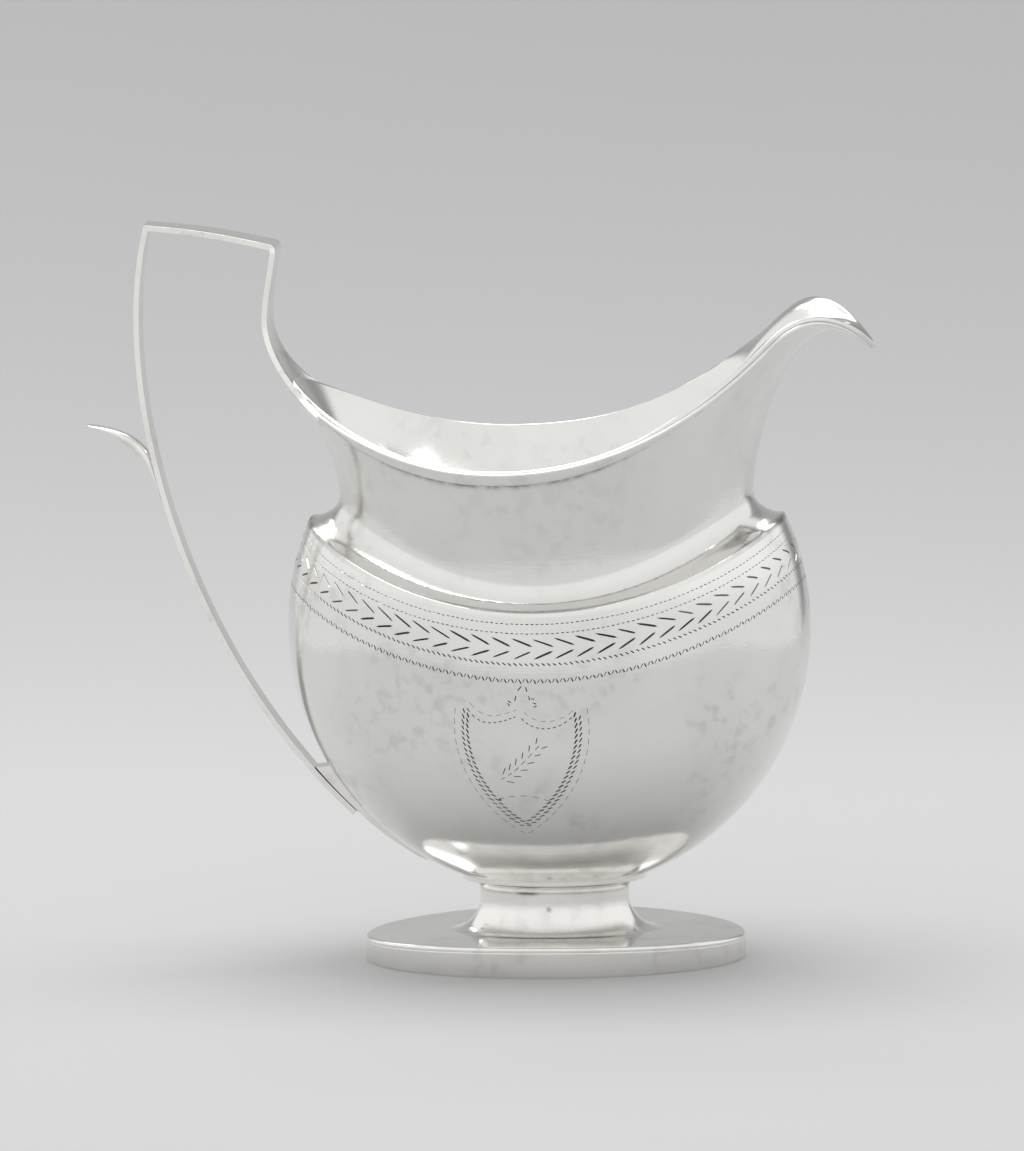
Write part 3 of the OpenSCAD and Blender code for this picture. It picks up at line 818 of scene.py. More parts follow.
    def _shield_top(self, strokes: Strokes) -> None:
        """Two hanging swags, the small peak between them and the finial above."""
        left = np.array([(-10.3, 52.6), (-7.6, 47.6), (-3.2, 50.2), (-0.9, 50.9)])
        right = np.array([(-0.2, 50.7), (2.2, 47.6), (6.6, 47.8), (9.6, 50.9)])
        s = np.linspace(0, 1, 31)
        for curve in (left, right):
            line = bezier(curve, s)
            self._line_cuts(strokes, line, 3, 0.86, 0.42, 0.11)
            self._line_cuts(strokes, line + [0.35, 1.35], 5, 0.95, 0.18, 0.05)
        finial = [[(0.1, 57.0), (-1.0, 55.6)], [(-1.1, 55.2), (-1.5, 53.6)], [(0.5, 56.8), (1.0, 55.4)],
                  [(1.1, 55.1), (1.4, 53.8)], [(-1.9, 53.4), (-2.9, 54.0)], [(-2.9, 53.6), (-2.3, 52.8)],
                  [(1.7, 53.6), (2.7, 53.2)], [(2.8, 53.0), (1.9, 52.6)], [(1.5, 54.4), (2.3, 54.1)]]
        middle = self.shield_x + 0.3
        for (x0, z0), (x1, z1) in finial:
            strokes.cut(self.on_side(middle + x0, z0), self.on_side(middle + x1, z1), 0.44, 0.14)

    def _shield_spray(self, strokes: Strokes) -> None:
        """A plain leafy spray over a ground line, in the middle of the shield."""
        stem = bezier([np.array([-4.6, 38.4]), np.array([-2.0, 39.4]), np.array([0.6, 42.6]),
                       np.array([3.4, 45.6])], np.linspace(0, 1, 13))
        self._line_cuts(strokes, stem, 2, 0.9, 0.30, 0.08)
        for i in range(1, 12, 2):
            d = unit(stem[i + 1] - stem[i - 1])
            side = np.array([-d[1], d[0]])
            for turn in (1, -1):
                a = stem[i] + side * turn * 0.45
                b = a + 1.7 * d + side * turn * (1.5 - 0.05 * i)
                strokes.cut(self.on_side(self.shield_x + a[0], a[1]),
                            self.on_side(self.shield_x + b[0], b[1]), 0.40, 0.10)
        arc = bezier([np.array([-5.6, 34.2]), np.array([-2.4, 35.8]), np.array([1.6, 35.6]),
                      np.array([5.2, 33.8])], np.linspace(0, 1, 21))
        self._line_cuts(strokes, arc, 4, 0.9, 0.26, 0.07)

    def graver_points(self, shift: float) -> bpy.types.Object:
        """Makes a cloud of points with a turn and a size for each cut.

        Args:
            shift: Place of the bowl's axis along X, in millimetres.

        Returns:
            A helper object, to be removed once the cuts are made.
        """
        strokes = Strokes()
        for motif in Motif:
            self.draw(motif, strokes)
        f = self.form
        centre = np.array(strokes.centre)
        scale = np.array([f.bowl_a, f.bowl_b, f.bowl_c])
        local = centre - [0, 0, f.bowl_z]
        local = local / np.linalg.norm(local / scale, axis=1, keepdims=True)
        normal = unit(local / scale ** 2)
        along = np.array(strokes.along)
        along = unit(along - normal * np.sum(along * normal, 1, keepdims=True))
        across = np.cross(normal, along)
        turns = [Matrix((x, y, z)).transposed().to_euler() for x, y, z in zip(along, across, normal)]
        mesh = bpy.data.meshes.new("graver_points")
        mesh.from_pydata(((local + [shift, 0, f.bowl_z]) * MM).tolist(), [], [])
        for label, values in (("turn", [tuple(e) for e in turns]), ("size", np.array(strokes.size) * MM)):
            layer = mesh.attributes.new(label, "FLOAT_VECTOR", "POINT")
            layer.data.foreach_set("vector", np.array(values, np.float32).ravel())
        helper = bpy.data.objects.new("graver_points", mesh)
        bpy.context.scene.collection.objects.link(helper)
        LOG.info("engraving: %d cuts", len(centre))
        return helper

    def graver(self) -> bpy.types.Object:
        """Makes the shape that one cut takes away: a slim boat with a keel."""
        top, keel = 1.0, -1.0
        co = np.array([(-0.5, 0, top), (-0.2, -0.42, top), (0.25, -0.5, top), (0.5, 0, top),
                       (0.25, 0.5, top), (-0.2, 0.42, top), (-0.22, 0, keel), (0.28, 0, keel)])
        faces = [[0, 5, 4, 3, 2, 1], [0, 1, 6], [1, 2, 7, 6], [2, 3, 7], [3, 4, 7], [4, 5, 6, 7], [5, 0, 6]]
        return mesh_object("graver", co, faces)

    def cut_into(self, bowl: bpy.types.Object, shift: float) -> None:
        """Takes every cut out of the bowl's skin.

        Args:
            bowl: The bowl, which ends as a plain mesh.
            shift: Place of the bowl's axis along X, in millimetres.
        """
        points, graver = self.graver_points(shift), self.graver()
        group = self._tree()
        modifier = bowl.modifiers.new("engraving", "NODES")
        modifier.node_group = group
        modifier[socket_id(group, "Graver points")] = points
        modifier[socket_id(group, "Graver")] = graver
        modifier[socket_id(group, "Depth")] = 1.0
        modifier[socket_id(group, "Finish")] = bowl.data.materials[0]
        baked(bowl)
        for helper in (points, graver):
            bpy.data.objects.remove(helper)
        bpy.data.node_groups.remove(group)

    def _tree(self) -> bpy.types.NodeTree:
        """Geometry nodes that lay a graver on every point and cut them all away.

        Returns:
            The node group.
        """
        group = geometry_group("engraving", {"Graver points": "Object", "Graver": "Object",
                                             "Depth": "Float", "Finish": "Material"})
        t = Tree(group)
        given = t.add("NodeGroupInput").outputs
        points = t.add("GeometryNodeObjectInfo", {"Object": given["Graver points"]}).outputs["Geometry"]
        graver = t.add("GeometryNodeObjectInfo", {"Object": given["Graver"]}).outputs["Geometry"]
        turn = t.add("GeometryNodeInputNamedAttribute", {"Name": "turn"}, data_type="FLOAT_VECTOR").outputs[0]
        size = t.add("GeometryNodeInputNamedAttribute", {"Name": "size"}, data_type="FLOAT_VECTOR").outputs[0]
        deep = t.add("ShaderNodeCombineXYZ", {0: 1.0, 1: 1.0, 2: given["Depth"]}).outputs[0]
        size = t.add("ShaderNodeVectorMath", {0: size, 1: deep}, operation="MULTIPLY").outputs[0]
        euler = t.add("FunctionNodeEulerToRotation", {0: turn}).outputs[0]
        placed = t.add("GeometryNodeInstanceOnPoints", {"Points": points, "Instance": graver,
                                                        "Rotation": euler, "Scale": size}).outputs[0]
        cuts = t.add("GeometryNodeRealizeInstances", {0: placed}).outputs[0]
        carve = t.add("GeometryNodeMeshBoolean", operation="DIFFERENCE", solver="MANIFOLD")
        t.tree.links.new(given["Geometry"], carve.inputs[0])
        t.tree.links.new(cuts, carve.inputs[1])
        whole = t.add("GeometryNodeRealizeInstances", {0: carve.outputs[0]}).outputs[0]
        t.dress(whole, given["Finish"])
        return group


# -------------------------------------------------------------- swept pieces
@dataclass
class SweptBar:
    """A bar whose rounded section follows a path; made with geometry nodes."""

    name: str
    base: np.ndarray
    across: np.ndarray
    out: np.ndarray
    closed: bool
    section_points: int = 20
    squareness: float = 0.5

    def build(self, finish: bpy.types.Material, shift: float) -> bpy.types.Object:
        """Sweeps the section and returns the plain mesh object.

        Args:
            finish: The bar's material.
            shift: Place of the bowl's axis along X, in millimetres.

        Returns:
            The linked object.
        """
        count = len(self.base)
        edges = [(i, i + 1) for i in range(count - 1)] + ([(count - 1, 0)] if self.closed else [])
        mesh = bpy.data.meshes.new(self.name)
        base = (self.base + [shift, 0, 0]) * MM
        mesh.from_pydata(base.tolist(), edges, [])
        for label, values in (("base", base), ("across", self.across * MM), ("out", self.out * MM)):
            layer = mesh.attributes.new(label, "FLOAT_VECTOR", "POINT")
            layer.data.foreach_set("vector", values.astype(np.float32).ravel())
        obj = bpy.data.objects.new(self.name, mesh)
        bpy.context.scene.collection.objects.link(obj)
        group = self._tree()
        modifier = obj.modifiers.new("sweep", "NODES")
        modifier.node_group = group
        modifier[socket_id(group, "Section points")] = self.section_points
        modifier[socket_id(group, "Squareness")] = self.squareness
        modifier[socket_id(group, "Finish")] = finish
        baked(obj)
        bpy.data.node_groups.remove(group)
        for label in ("base", "across", "out", "turn"):
            layer = obj.data.attributes.get(label)
            if layer:
                obj.data.attributes.remove(layer)
        if enclosed_volume(obj.data) < 0:
            obj.data.flip_normals()
        soften(obj, 50)
        return obj

    def _tree(self) -> bpy.types.NodeTree:
        """Geometry nodes that sweep a circle and set each point by the path's own directions.

        Returns:
            The node group.
        """
        group = geometry_group("section_sweep", {"Section points": "Int", "Squareness": "Float",
                                                 "Finish": "Material"})
        t = Tree(group)
        given = t.add("NodeGroupInput").outputs
        path = t.add("GeometryNodeMeshToCurve", {0: given["Geometry"]}).outputs[0]
        ring = t.add("GeometryNodeCurvePrimitiveCircle", {"Resolution": given["Section points"]}).outputs[0]
        step = t.math("DIVIDE", t.add("GeometryNodeInputIndex").outputs[0], given["Section points"])
        turn = t.math("MULTIPLY", step, 2 * math.pi)
        ring = t.add("GeometryNodeStoreNamedAttribute", {"Geometry": ring, "Name": "turn", "Value": turn},
                     data_type="FLOAT", domain="POINT").outputs[0]
        swept = t.add("GeometryNodeCurveToMesh", {"Curve": path, "Profile Curve": ring, "Fill Caps": True})
        angle = t.add("GeometryNodeInputNamedAttribute", {"Name": "turn"}, data_type="FLOAT").outputs[0]
        u = self._rounded(t, t.math("COSINE", angle), given["Squareness"])
        v = self._rounded(t, t.math("SINE", angle), given["Squareness"])
        v = t.math("MULTIPLY", t.math("ADD", v, 1.0), 0.5)
        named = {label: t.add("GeometryNodeInputNamedAttribute", {"Name": label},
                              data_type="FLOAT_VECTOR").outputs[0] for label in ("base", "across", "out")}
        spot = t.summed(t.summed(named["base"], t.scaled(named["across"], u)), t.scaled(named["out"], v))
        moved = t.add("GeometryNodeSetPosition", {"Geometry": swept.outputs[0], "Position": spot}).outputs[0]
        whole = t.add("GeometryNodeRealizeInstances", {0: moved}).outputs[0]
        t.dress(whole, given["Finish"])
        return group

    def _rounded(self, t: Tree, wave: bpy.types.NodeSocket,
                 power: bpy.types.NodeSocket) -> bpy.types.NodeSocket:
        """Raises a wave's size to a power and keeps its sign, which squares the section."""
        return t.math("MULTIPLY", t.math("SIGN", wave), t.math("POWER", t.math("ABSOLUTE", wave), power))


# -------------------------------------------------------------- sub-assemblies
@dataclass
class Bowl:
    """The raised oval bowl with its engraved band and shield."""

    form: JugForm
    shift: float
    finish: SilverFinish
    cut_finish: SilverFinish
    turns: int = 288
    outer_rows: int = 84
    inner_rows: int = 48

    def build(self) -> bpy.types.Object:
        """Makes the bowl, engraves it, and sets its shading to the true curve.

        Returns:
            The piece.
        """
        f = self.form
        turn = np.linspace(0, 2 * math.pi, self.turns, endpoint=False)
        outer = self._face(turn, f.saddle_points(turn, f.sheet, 0), 0, self.outer_rows)
        inner = self._face(turn, f.saddle_points(turn, f.sheet, f.sheet), f.sheet, self.inner_rows)
        rings = np.concatenate([outer[::-1], inner])
        low = np.array([0, 0, f.bowl_bottom_z])
        skin = RingSkin("bowl_silver_body", rings, ends=(End.POINT, End.POINT),
                        points=(low, low + [0, 0, f.sheet]))
        bowl = skin.build(self.shift)
        bowl.data.materials.append(self.finish.build())
        Engraving(f).cut_into(bowl, self.shift)
        self._dress(bowl)
        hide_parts("bowl")
        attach(bowl, BODY)
        return bowl

    def _face(self, turn: np.ndarray, edge: np.ndarray, inset: float, rows: int) -> np.ndarray:
        """Rings of one face of the bowl, from its top edge down to just over its lowest point.

        Args:
            turn: Angles round the jug.
            edge: The face's top edge.
            inset: How far the face lies inside the outer one.
            rows: How many rings.

        Returns:
            The rings, from the top down.
        """
        f = self.form
        a, b, c = f.bowl_a - inset, f.bowl_b - inset, f.bowl_c - inset
        start = np.arcsin((edge[:, 2] - f.bowl_z) / c)
        share = np.linspace(0, 1, rows + 1)[:-1, None]
        lift = mix(start[None, :], -math.pi / 2, share)
        return np.stack([a * np.cos(lift) * np.cos(turn), b * np.cos(lift) * np.sin(turn),
                         f.bowl_z + c * np.sin(lift)], -1)

    def _dress(self, bowl: bpy.types.Object) -> None:
        """Gives the cuts their own finish, and every whole face the bowl's true normals."""
        f = self.form
        mesh = bowl.data
        silver = mesh.materials[0]
        mesh.materials.clear()
        mesh.materials.append(silver)
        mesh.materials.append(self.cut_finish.build())
        local = jug_points(bowl, self.shift) - [0, 0, f.bowl_z]
        faces = len(mesh.polygons)
        flat = np.empty(faces * 3)
        mesh.polygons.foreach_get("normal", flat)
        flat = flat.reshape(-1, 3)
        loops = np.empty(len(mesh.loops), np.int32)
        mesh.loops.foreach_get("vertex_index", loops)
        totals = np.empty(faces, np.int32)
        mesh.polygons.foreach_get("loop_total", totals)
        owner = np.repeat(np.arange(faces), totals)
        normals = flat[owner].copy()
        whole = np.zeros(faces, bool)
        for inset, sign in ((0.0, 1.0), (f.sheet, -1.0)):
            scale = np.array([f.bowl_a - inset, f.bowl_b - inset, f.bowl_c - inset])
            true = sign * unit(local / scale ** 2)
            level = np.abs(np.linalg.norm(local / scale, axis=1) - 1) * f.bowl_b
            fits = (np.sum(true[loops] * flat[owner], 1) > 0.985) & (level[loops] < 0.03)
            good = np.ones(faces, bool)
            np.logical_and.at(good, owner, fits)
            keep = good[owner]
            normals[keep] = true[loops][keep]
            whole |= good
        centre_z = np.zeros(faces)
        np.add.at(centre_z, owner, local[loops][:, 2])
        centre_z = centre_z / totals + f.bowl_z
        top_edge = (centre_z > f.shoulder_side_z - 1.2) & (flat[:, 2] > 0.6)
        cut = ~whole & ~top_edge
        mesh.polygons.foreach_set("material_index", cut.astype(np.int32))
        mesh.shade_smooth()
        mesh.normals_split_custom_set(normals.tolist())
        LOG.info("bowl: %d faces, %d of them in cuts", faces, int(cut.sum()))


@dataclass
class Neck:
    """The neck sheet: ledge, saddle-shaped flare and curled pouring lip."""

    form: JugForm
    shift: float
    finish: SilverFinish
    turns: int = 320
    ledge_rows: int = 18
    flare_rows: int = 44

    def build(self) -> bpy.types.Object:
        """Makes the neck as one closed skin.

        Returns:
            The piece.
        """
        f = self.form
        turn = np.linspace(0, 2 * math.pi, self.turns, endpoint=False)
        rows = [f.saddle_points(turn, f.sheet, 0)]
        edge = f.saddle_points(turn, 0, 0)
        inward = unit(f.neck_skin(turn, np.full_like(turn, 0.15)) - edge)
        rows.append(edge - [0, 0, 0.28])
        rows.append(edge + 0.06 * inward - [0, 0, 0.07])
        rows.append(edge + 0.30 * inward)
        places = np.concatenate([np.linspace(0, 1, self.ledge_rows + 1)[2:],
                                 1 + np.linspace(0, 1, self.flare_rows + 1)[1:]])
        skin = [(f.neck_skin(turn, np.full_like(turn, v)), f.neck_normal(turn, np.full_like(turn, v)))
                for v in places]
        rows += [p for p, _ in skin[:-1]]
        rows += self._rounded_rim(turn, *skin[-1])
        rows += [p - f.sheet * n for p, n in reversed(skin[:-1])]
        rows.append(f.saddle_points(turn, f.sheet, f.sheet))
        neck = RingSkin("neck_silver_body", np.array(rows), looped=True).build(self.shift)
        soften(neck, 50)
        self._mark_grime_and_shade(neck, turn, len(rows))
        neck.data.materials.append(self.finish.build())
        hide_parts("neck")
        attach(neck, BODY)
        return neck

    def _mark_grime_and_shade(self, neck: bpy.types.Object, turn: np.ndarray, rows: int) -> None:
        """Stores how much darkening lies at each point along the two soldered joints: painted shade mixed
        with grime under the rim wire, and grime at the ledge's two ends.

        Args:
            neck: The piece.
            turn: Angles round the jug.
            rows: How many rows of points the skin has.
        """
        f = self.form
        co = jug_points(neck, self.shift).reshape(rows, len(turn), 3)
        wire = f.neck_skin(turn, 1 + f.wire_share(turn))
        # Painted shade under the rim wire's lower edge, mixed with grime in the joint.
        under_wire = np.exp(-(np.linalg.norm(co - wire[None], axis=-1) / 0.75) ** 2)
        lapped = np.abs(np.degrees(turn) - 180) > f.fishtail_deg
        joint = f.saddle_points(turn, 0, 0)
        at_ends = np.cos(turn) ** 8
        under_ledge = np.exp(-(np.linalg.norm(co - joint[None], axis=-1) / 0.8) ** 2) * at_ends
        outer = np.arange(rows) < rows // 2 + 4
        seam = np.maximum(under_wire * lapped, under_ledge) * outer[:, None]
        store_grime_and_shade(neck, seam)

    def _rounded_rim(self, turn: np.ndarray, top: np.ndarray, normal: np.ndarray) -> list[np.ndarray]:
        """Rounds the sheet's own top edge over from its outer to its inner face.

        Args:
            turn: Angles round the jug.
            top: The outer top edge.
            normal: Outward normals there.

        Returns:
            The rows of the rounded edge.
        """
        f = self.form
        below = f.neck_skin(turn, np.full_like(turn, 1.985))
        up = unit(top - below)
        half = f.sheet / 2
        rows = []
        for a in np.linspace(0, math.pi, 7):
            inward = half * (1 - math.cos(a))
            rows.append(top - normal * inward + up * (0.5 * half * math.sin(a) - 0.25 * half))
        return rows


@dataclass
class RimWire:
    """The flat wire with rounded edges that stiffens the rim from the handle round the lip."""

    form: JugForm
    shift: float
    finish: SilverFinish
    steps: int = 420

    def build(self) -> bpy.types.Object:
        """Sweeps the wire along the rim.

        Returns:
            The piece.
        """
        f = self.form
        end = math.pi - math.radians(f.fishtail_deg)
        turn = np.linspace(-end, end, self.steps)
        share = 1 + f.wire_share(turn)
        low, top = f.neck_skin(turn, share), f.neck_skin(turn, np.full_like(turn, 2.0))
        normal = unit(f.neck_normal(turn, (share + 2) / 2))
        thick = (f.wire_thickness * f.beak_taper(turn))[:, None]
        across = (top - low) / 2
        base = (low + top) / 2 - 0.05 * normal
        wire = SweptBar("rim_wire_silver", base, across, (thick + 0.05) * normal, closed=False,
                        section_points=24, squareness=0.6).build(self.finish.build(), self.shift)
        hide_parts("rim_wire")
        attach(wire, BODY)
        return wire


@dataclass
class Handle:
    """The flat strap, the spur on its back and the tongue under its lower end."""

    form: JugForm
    shift: float
    finish: SilverFinish
    leg_pull: float = 46.0
    leg_lift: float = 3.3
    columns: int = 24

    def build(self) -> list[bpy.types.Object]:
        """Makes the handle's three pieces.

        Returns:
            The strap, the spur and the tongue.
        """
        pieces = [self._strap(), self._spur(), self._tongue()]
        nodes = ("handle_strap", "handle_spur", "handle_tongue")
        for piece, node, slot in zip(pieces, nodes, ("strap_silver", "spur_silver", "tongue_silver")):
            piece.data.materials.append(self.finish.build())
            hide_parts(node)
            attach(piece, BODY)
        return pieces

    @property
    def strap_end_z(self) -> float:
        """Height on the bowl at which the strap ends."""
        return self.form.bowl_bottom_z + self.form.strap_end_rise

    def _rim_end(self) -> np.ndarray:
        """Rim's end over the handle, as x and z."""
        return self.form.rim_points(np.array([math.pi]))[0][[0, 2]]

    def leg(self) -> list[np.ndarray]:
        """Controls of the long leg's outside face, from the bowl up to the outer corner."""
        f = self.form
        z = np.array(self.strap_end_z)
        start = f.bowl_side(z, f.strap_thickness + f.tongue_thickness)
        n = f.bowl_side_normal(z)
        tangent = np.array([n[1], -n[0]])
        corner = self._rim_end() + [-f.handle_reach, f.handle_rise]
        return [start, start + self.leg_pull * tangent + self.leg_lift * n,
                corner + [-f.handle_bow, -28.7], corner]

    def path(self) -> tuple[np.ndarray, np.ndarray]:
        """The strap's outside face from the bowl over the top to the rim.

        Returns:
            The points as x and z, and the strap's width at each.
        """
        f = self.form
        rim, leg = self._rim_end(), self.leg()
        corner, front = leg[3], rim + [-1.6, 25.9]
        soft = 1.6
        top_end = front + soft * unit(corner - front)
        leg_top = front + soft * unit(np.array([-0.2, -1.0]))
        up = bezier([p[None] for p in leg], np.linspace(0, 1, 97))
        s = np.linspace(0, 1, 26)[1:]
        over = mix(corner, top_end, s[:, None]) + np.stack([0 * s, 0.5 * np.sin(math.pi * s)], -1)
        s = np.linspace(0, 1, 9)[1:, None]
        bend = (1 - s) ** 2 * top_end + 2 * s * (1 - s) * front + s * s * leg_top
        short = [leg_top, rim + [-3.4, 14.8], rim + [-5.8, 9.0], rim]
        down = bezier([p[None] for p in short], np.linspace(0, 1, 61)[1:])
        w_up = mix(f.strap_width_low, f.strap_width_back, np.linspace(0, 1, len(up)))
        w_over = mix(f.strap_width_back, f.strap_width_top, np.linspace(0, 1, len(over) + len(bend)))
        w_down = mix(f.strap_width_top, 12.0, np.linspace(0, 1, len(down)) ** 2)
        return np.concatenate([up, over, bend, down]), np.concatenate([w_up, w_over, w_down])

    def path_normals(self, path: np.ndarray) -> np.ndarray:
        """Mitred outward normals of the strap's path."""
        d = unit(np.diff(path, axis=0))
        first, last = np.vstack([d[:1], d]), np.vstack([d, d[-1:]])
        na, nb = (np.stack([-v[:, 1], v[:, 0]], -1) for v in (first, last))
        return (na + nb) / (1 + np.sum(na * nb, 1, keepdims=True))

    def _strap(self) -> bpy.types.Object:
        """The strap as one skin; its short leg spreads into the fishtail that laps the rim."""
        f = self.form
        path, width = self.path()
        normal = self.path_normals(path)
        across = np.linspace(1, -1, self.columns + 1)
        fish = math.radians(f.fishtail_deg)
        turn = math.pi + across * fish
        round_off = 0.16
        rim_face, rim_out = (f.neck_skin(turn, np.full_like(turn, 2.0)),
                             f.neck_normal(turn, np.full_like(turn, 2.0)))
        low_v = 1 + f.wire_share(turn)
        run = np.concatenate([[0], np.cumsum(np.linalg.norm(np.diff(path, axis=0), axis=1))])
        left = run[-1] - run
        fishtail_length, fishtail_power = 15.0, 3.4
        spread = np.clip(1 - left / fishtail_length, 0, 1) ** fishtail_power
        rings = []
        for i in range(len(path)):
            face = np.stack([np.full_like(across, path[i, 0]), -width[i] / 2 * across,
                             np.full_like(across, path[i, 1])], -1)
            back = face - f.strap_thickness * np.array([normal[i, 0], 0, normal[i, 1]])
            k = spread[i]
            rings.append(self._section(mix(face, rim_face, k),
                                       mix(back, rim_face + f.strap_thickness * rim_out, k), round_off))
        for s in (0.5, 0.9, 1.0):
            v = mix(2.0, low_v, s)
            thin = f.strap_thickness * (1 if s < 1 else 0.55)
            face, out = f.neck_skin(turn, v), f.neck_normal(turn, v)
            rings.append(self._section(face, face + thin * out, round_off))
        strap = RingSkin("handle_strap_silver", np.array(rings)).build(self.shift)
        soften(strap, 38)
        return strap

    def _section(self, face: np.ndarray, back: np.ndarray, soft: float) -> np.ndarray:
        """One cross ring of the strap with its four long edges softened.

        Args:
            face: Points across one side.
            back: Points across the other, in the same order.
            soft: How far the edges are rounded.

        Returns:
            The closed ring.
        """
        def trimmed(row: np.ndarray) -> np.ndarray:
            """A broad face's row, drawn in a little at its two ends."""
            a, b = unit(row[1] - row[0]), unit(row[-2] - row[-1])
            return np.concatenate([[row[0] + soft * a], row[1:-1], [row[-1] + soft * b]])

        def side(p: np.ndarray, q: np.ndarray) -> np.ndarray:
            """The narrow edge between two corners, with both corners eased."""
            d = soft * unit(q - p)
            return np.array([p + 0.3 * d, p + d, q - d, q - 0.3 * d])

        end, start = side(face[-1], back[-1]), side(back[0], face[0])
        return np.concatenate([trimmed(face), end, trimmed(back)[::-1], start])

    def _spur(self) -> bpy.types.Object:
        """The curved leaf that stands out behind the strap."""
        f = self.form
        leg = [p[None] for p in self.leg()]
        step = 1 / 24
        foot_at, root_at = 12 * step, 14 * step
        foot, root = bezier(leg, np.array([foot_at]))[0], bezier(leg, np.array([root_at]))[0]
        tip = foot + [-f.spur_reach, f.spur_rise]
        s = np.linspace(0, 1, 41)
        along = unit(bezier(leg, np.array([foot_at + step]))[0] - foot)
        up = unit(bezier(leg, np.array([root_at + step]))[0] - root)
        upper = [tip, tip + [7.5, -0.6], root + 3.6 * up + 0.7 * np.array([-up[1], up[0]]), root]
        lower = [tip + [0.1, -0.5], tip + [7.2, -1.9], foot + 9.1 * along,
                 foot + 0.12 * np.array([-along[1], along[0]])]
        tail = bezier(leg, np.linspace(root_at, foot_at, 25))
        top_line = np.concatenate([bezier([p[None] for p in upper], s), tail[1:]])
        low_line = bezier([p[None] for p in lower], np.linspace(0, 1, len(top_line)))
        top_line = self._resampled(top_line, len(top_line))
        low_line = self._resampled(low_line, len(top_line))
        z = (top_line[:, 1] + low_line[:, 1]) / 2
        t = np.clip((z - foot[1]) / (tip[1] - foot[1]), 0, 1)
        half = mix(2.5, 1.5, t) * np.sqrt(np.clip((np.linspace(0, 1, len(z)) + 0.004) / 0.05, 0, 1))
        half[-6:] *= np.sqrt(np.linspace(1, 0.5, 6))
        rings = []
        for a, b, w in zip(top_line, low_line, half):
            ring = []
            for k in np.linspace(0, 2 * math.pi, 20, endpoint=False):
                u = math.copysign(abs(math.cos(k)) ** 0.7, math.cos(k))
                v = 0.5 + 0.5 * math.copysign(abs(math.sin(k)) ** 0.7, math.sin(k))
                p = mix(b, a, v)
                ring.append([p[0], w * u, p[1]])
            rings.append(ring)
        spur = RingSkin("handle_spur_silver", np.array(rings)).build(self.shift)
        soften(spur, 60)
        return spur

    def _resampled(self, line: np.ndarray, count: int) -> np.ndarray:
        """Spreads a line's points evenly along it."""
        run = np.concatenate([[0], np.cumsum(np.linalg.norm(np.diff(line, axis=0), axis=1))])
        even = np.linspace(0, run[-1], count)
        return np.stack([np.interp(even, run, line[:, k]) for k in range(line.shape[1])], -1)

    def _tongue(self) -> bpy.types.Object:
        """The thin backing tongue that runs down the bowl from under the strap's end."""
        f = self.form
        foot = f.bowl_bottom_z + 6.2
        path, _ = self.path()
        normal = self.path_normals(path)
        lap = (path - f.strap_thickness * normal)[8::-1]
        z = np.linspace(self.strap_end_z, foot, 40)[1:]
        thick = f.tongue_thickness * (1 - 0.4 * np.linspace(0, 1, 40)[1:])
        outer = np.concatenate([lap, f.bowl_side(z, thick)])
        rings = []
        for x, zz in outer:
            share = np.clip((zz - foot) / (self.strap_end_z - 2 - foot), 0, 1)
            half = f.strap_width_low / 2 * mix(0.55, 1.0, share)
            y = np.linspace(-half, half, 9)
            level = float(np.clip(zz + 0.3, f.bowl_bottom_z + 1, 60))
            k = float(f.section_scale(np.array(level)))
            bed = -f.bowl_a * np.sqrt(np.clip(k * k - (y / f.bowl_b) ** 2, 0, 1))
            edge = 1 - 0.10 * np.abs(y / half) ** 6
            top = np.stack([bed + (x - bed) * edge, y, np.full_like(y, zz)], -1)
            base = np.stack([bed + 0.05, y, np.full_like(y, level)], -1)
            rings.append(np.concatenate([top, base[::-1]]))
        tongue = RingSkin("handle_tongue_silver", np.array(rings)).build(self.shift)
        soften(tongue, 40)
        return tongue


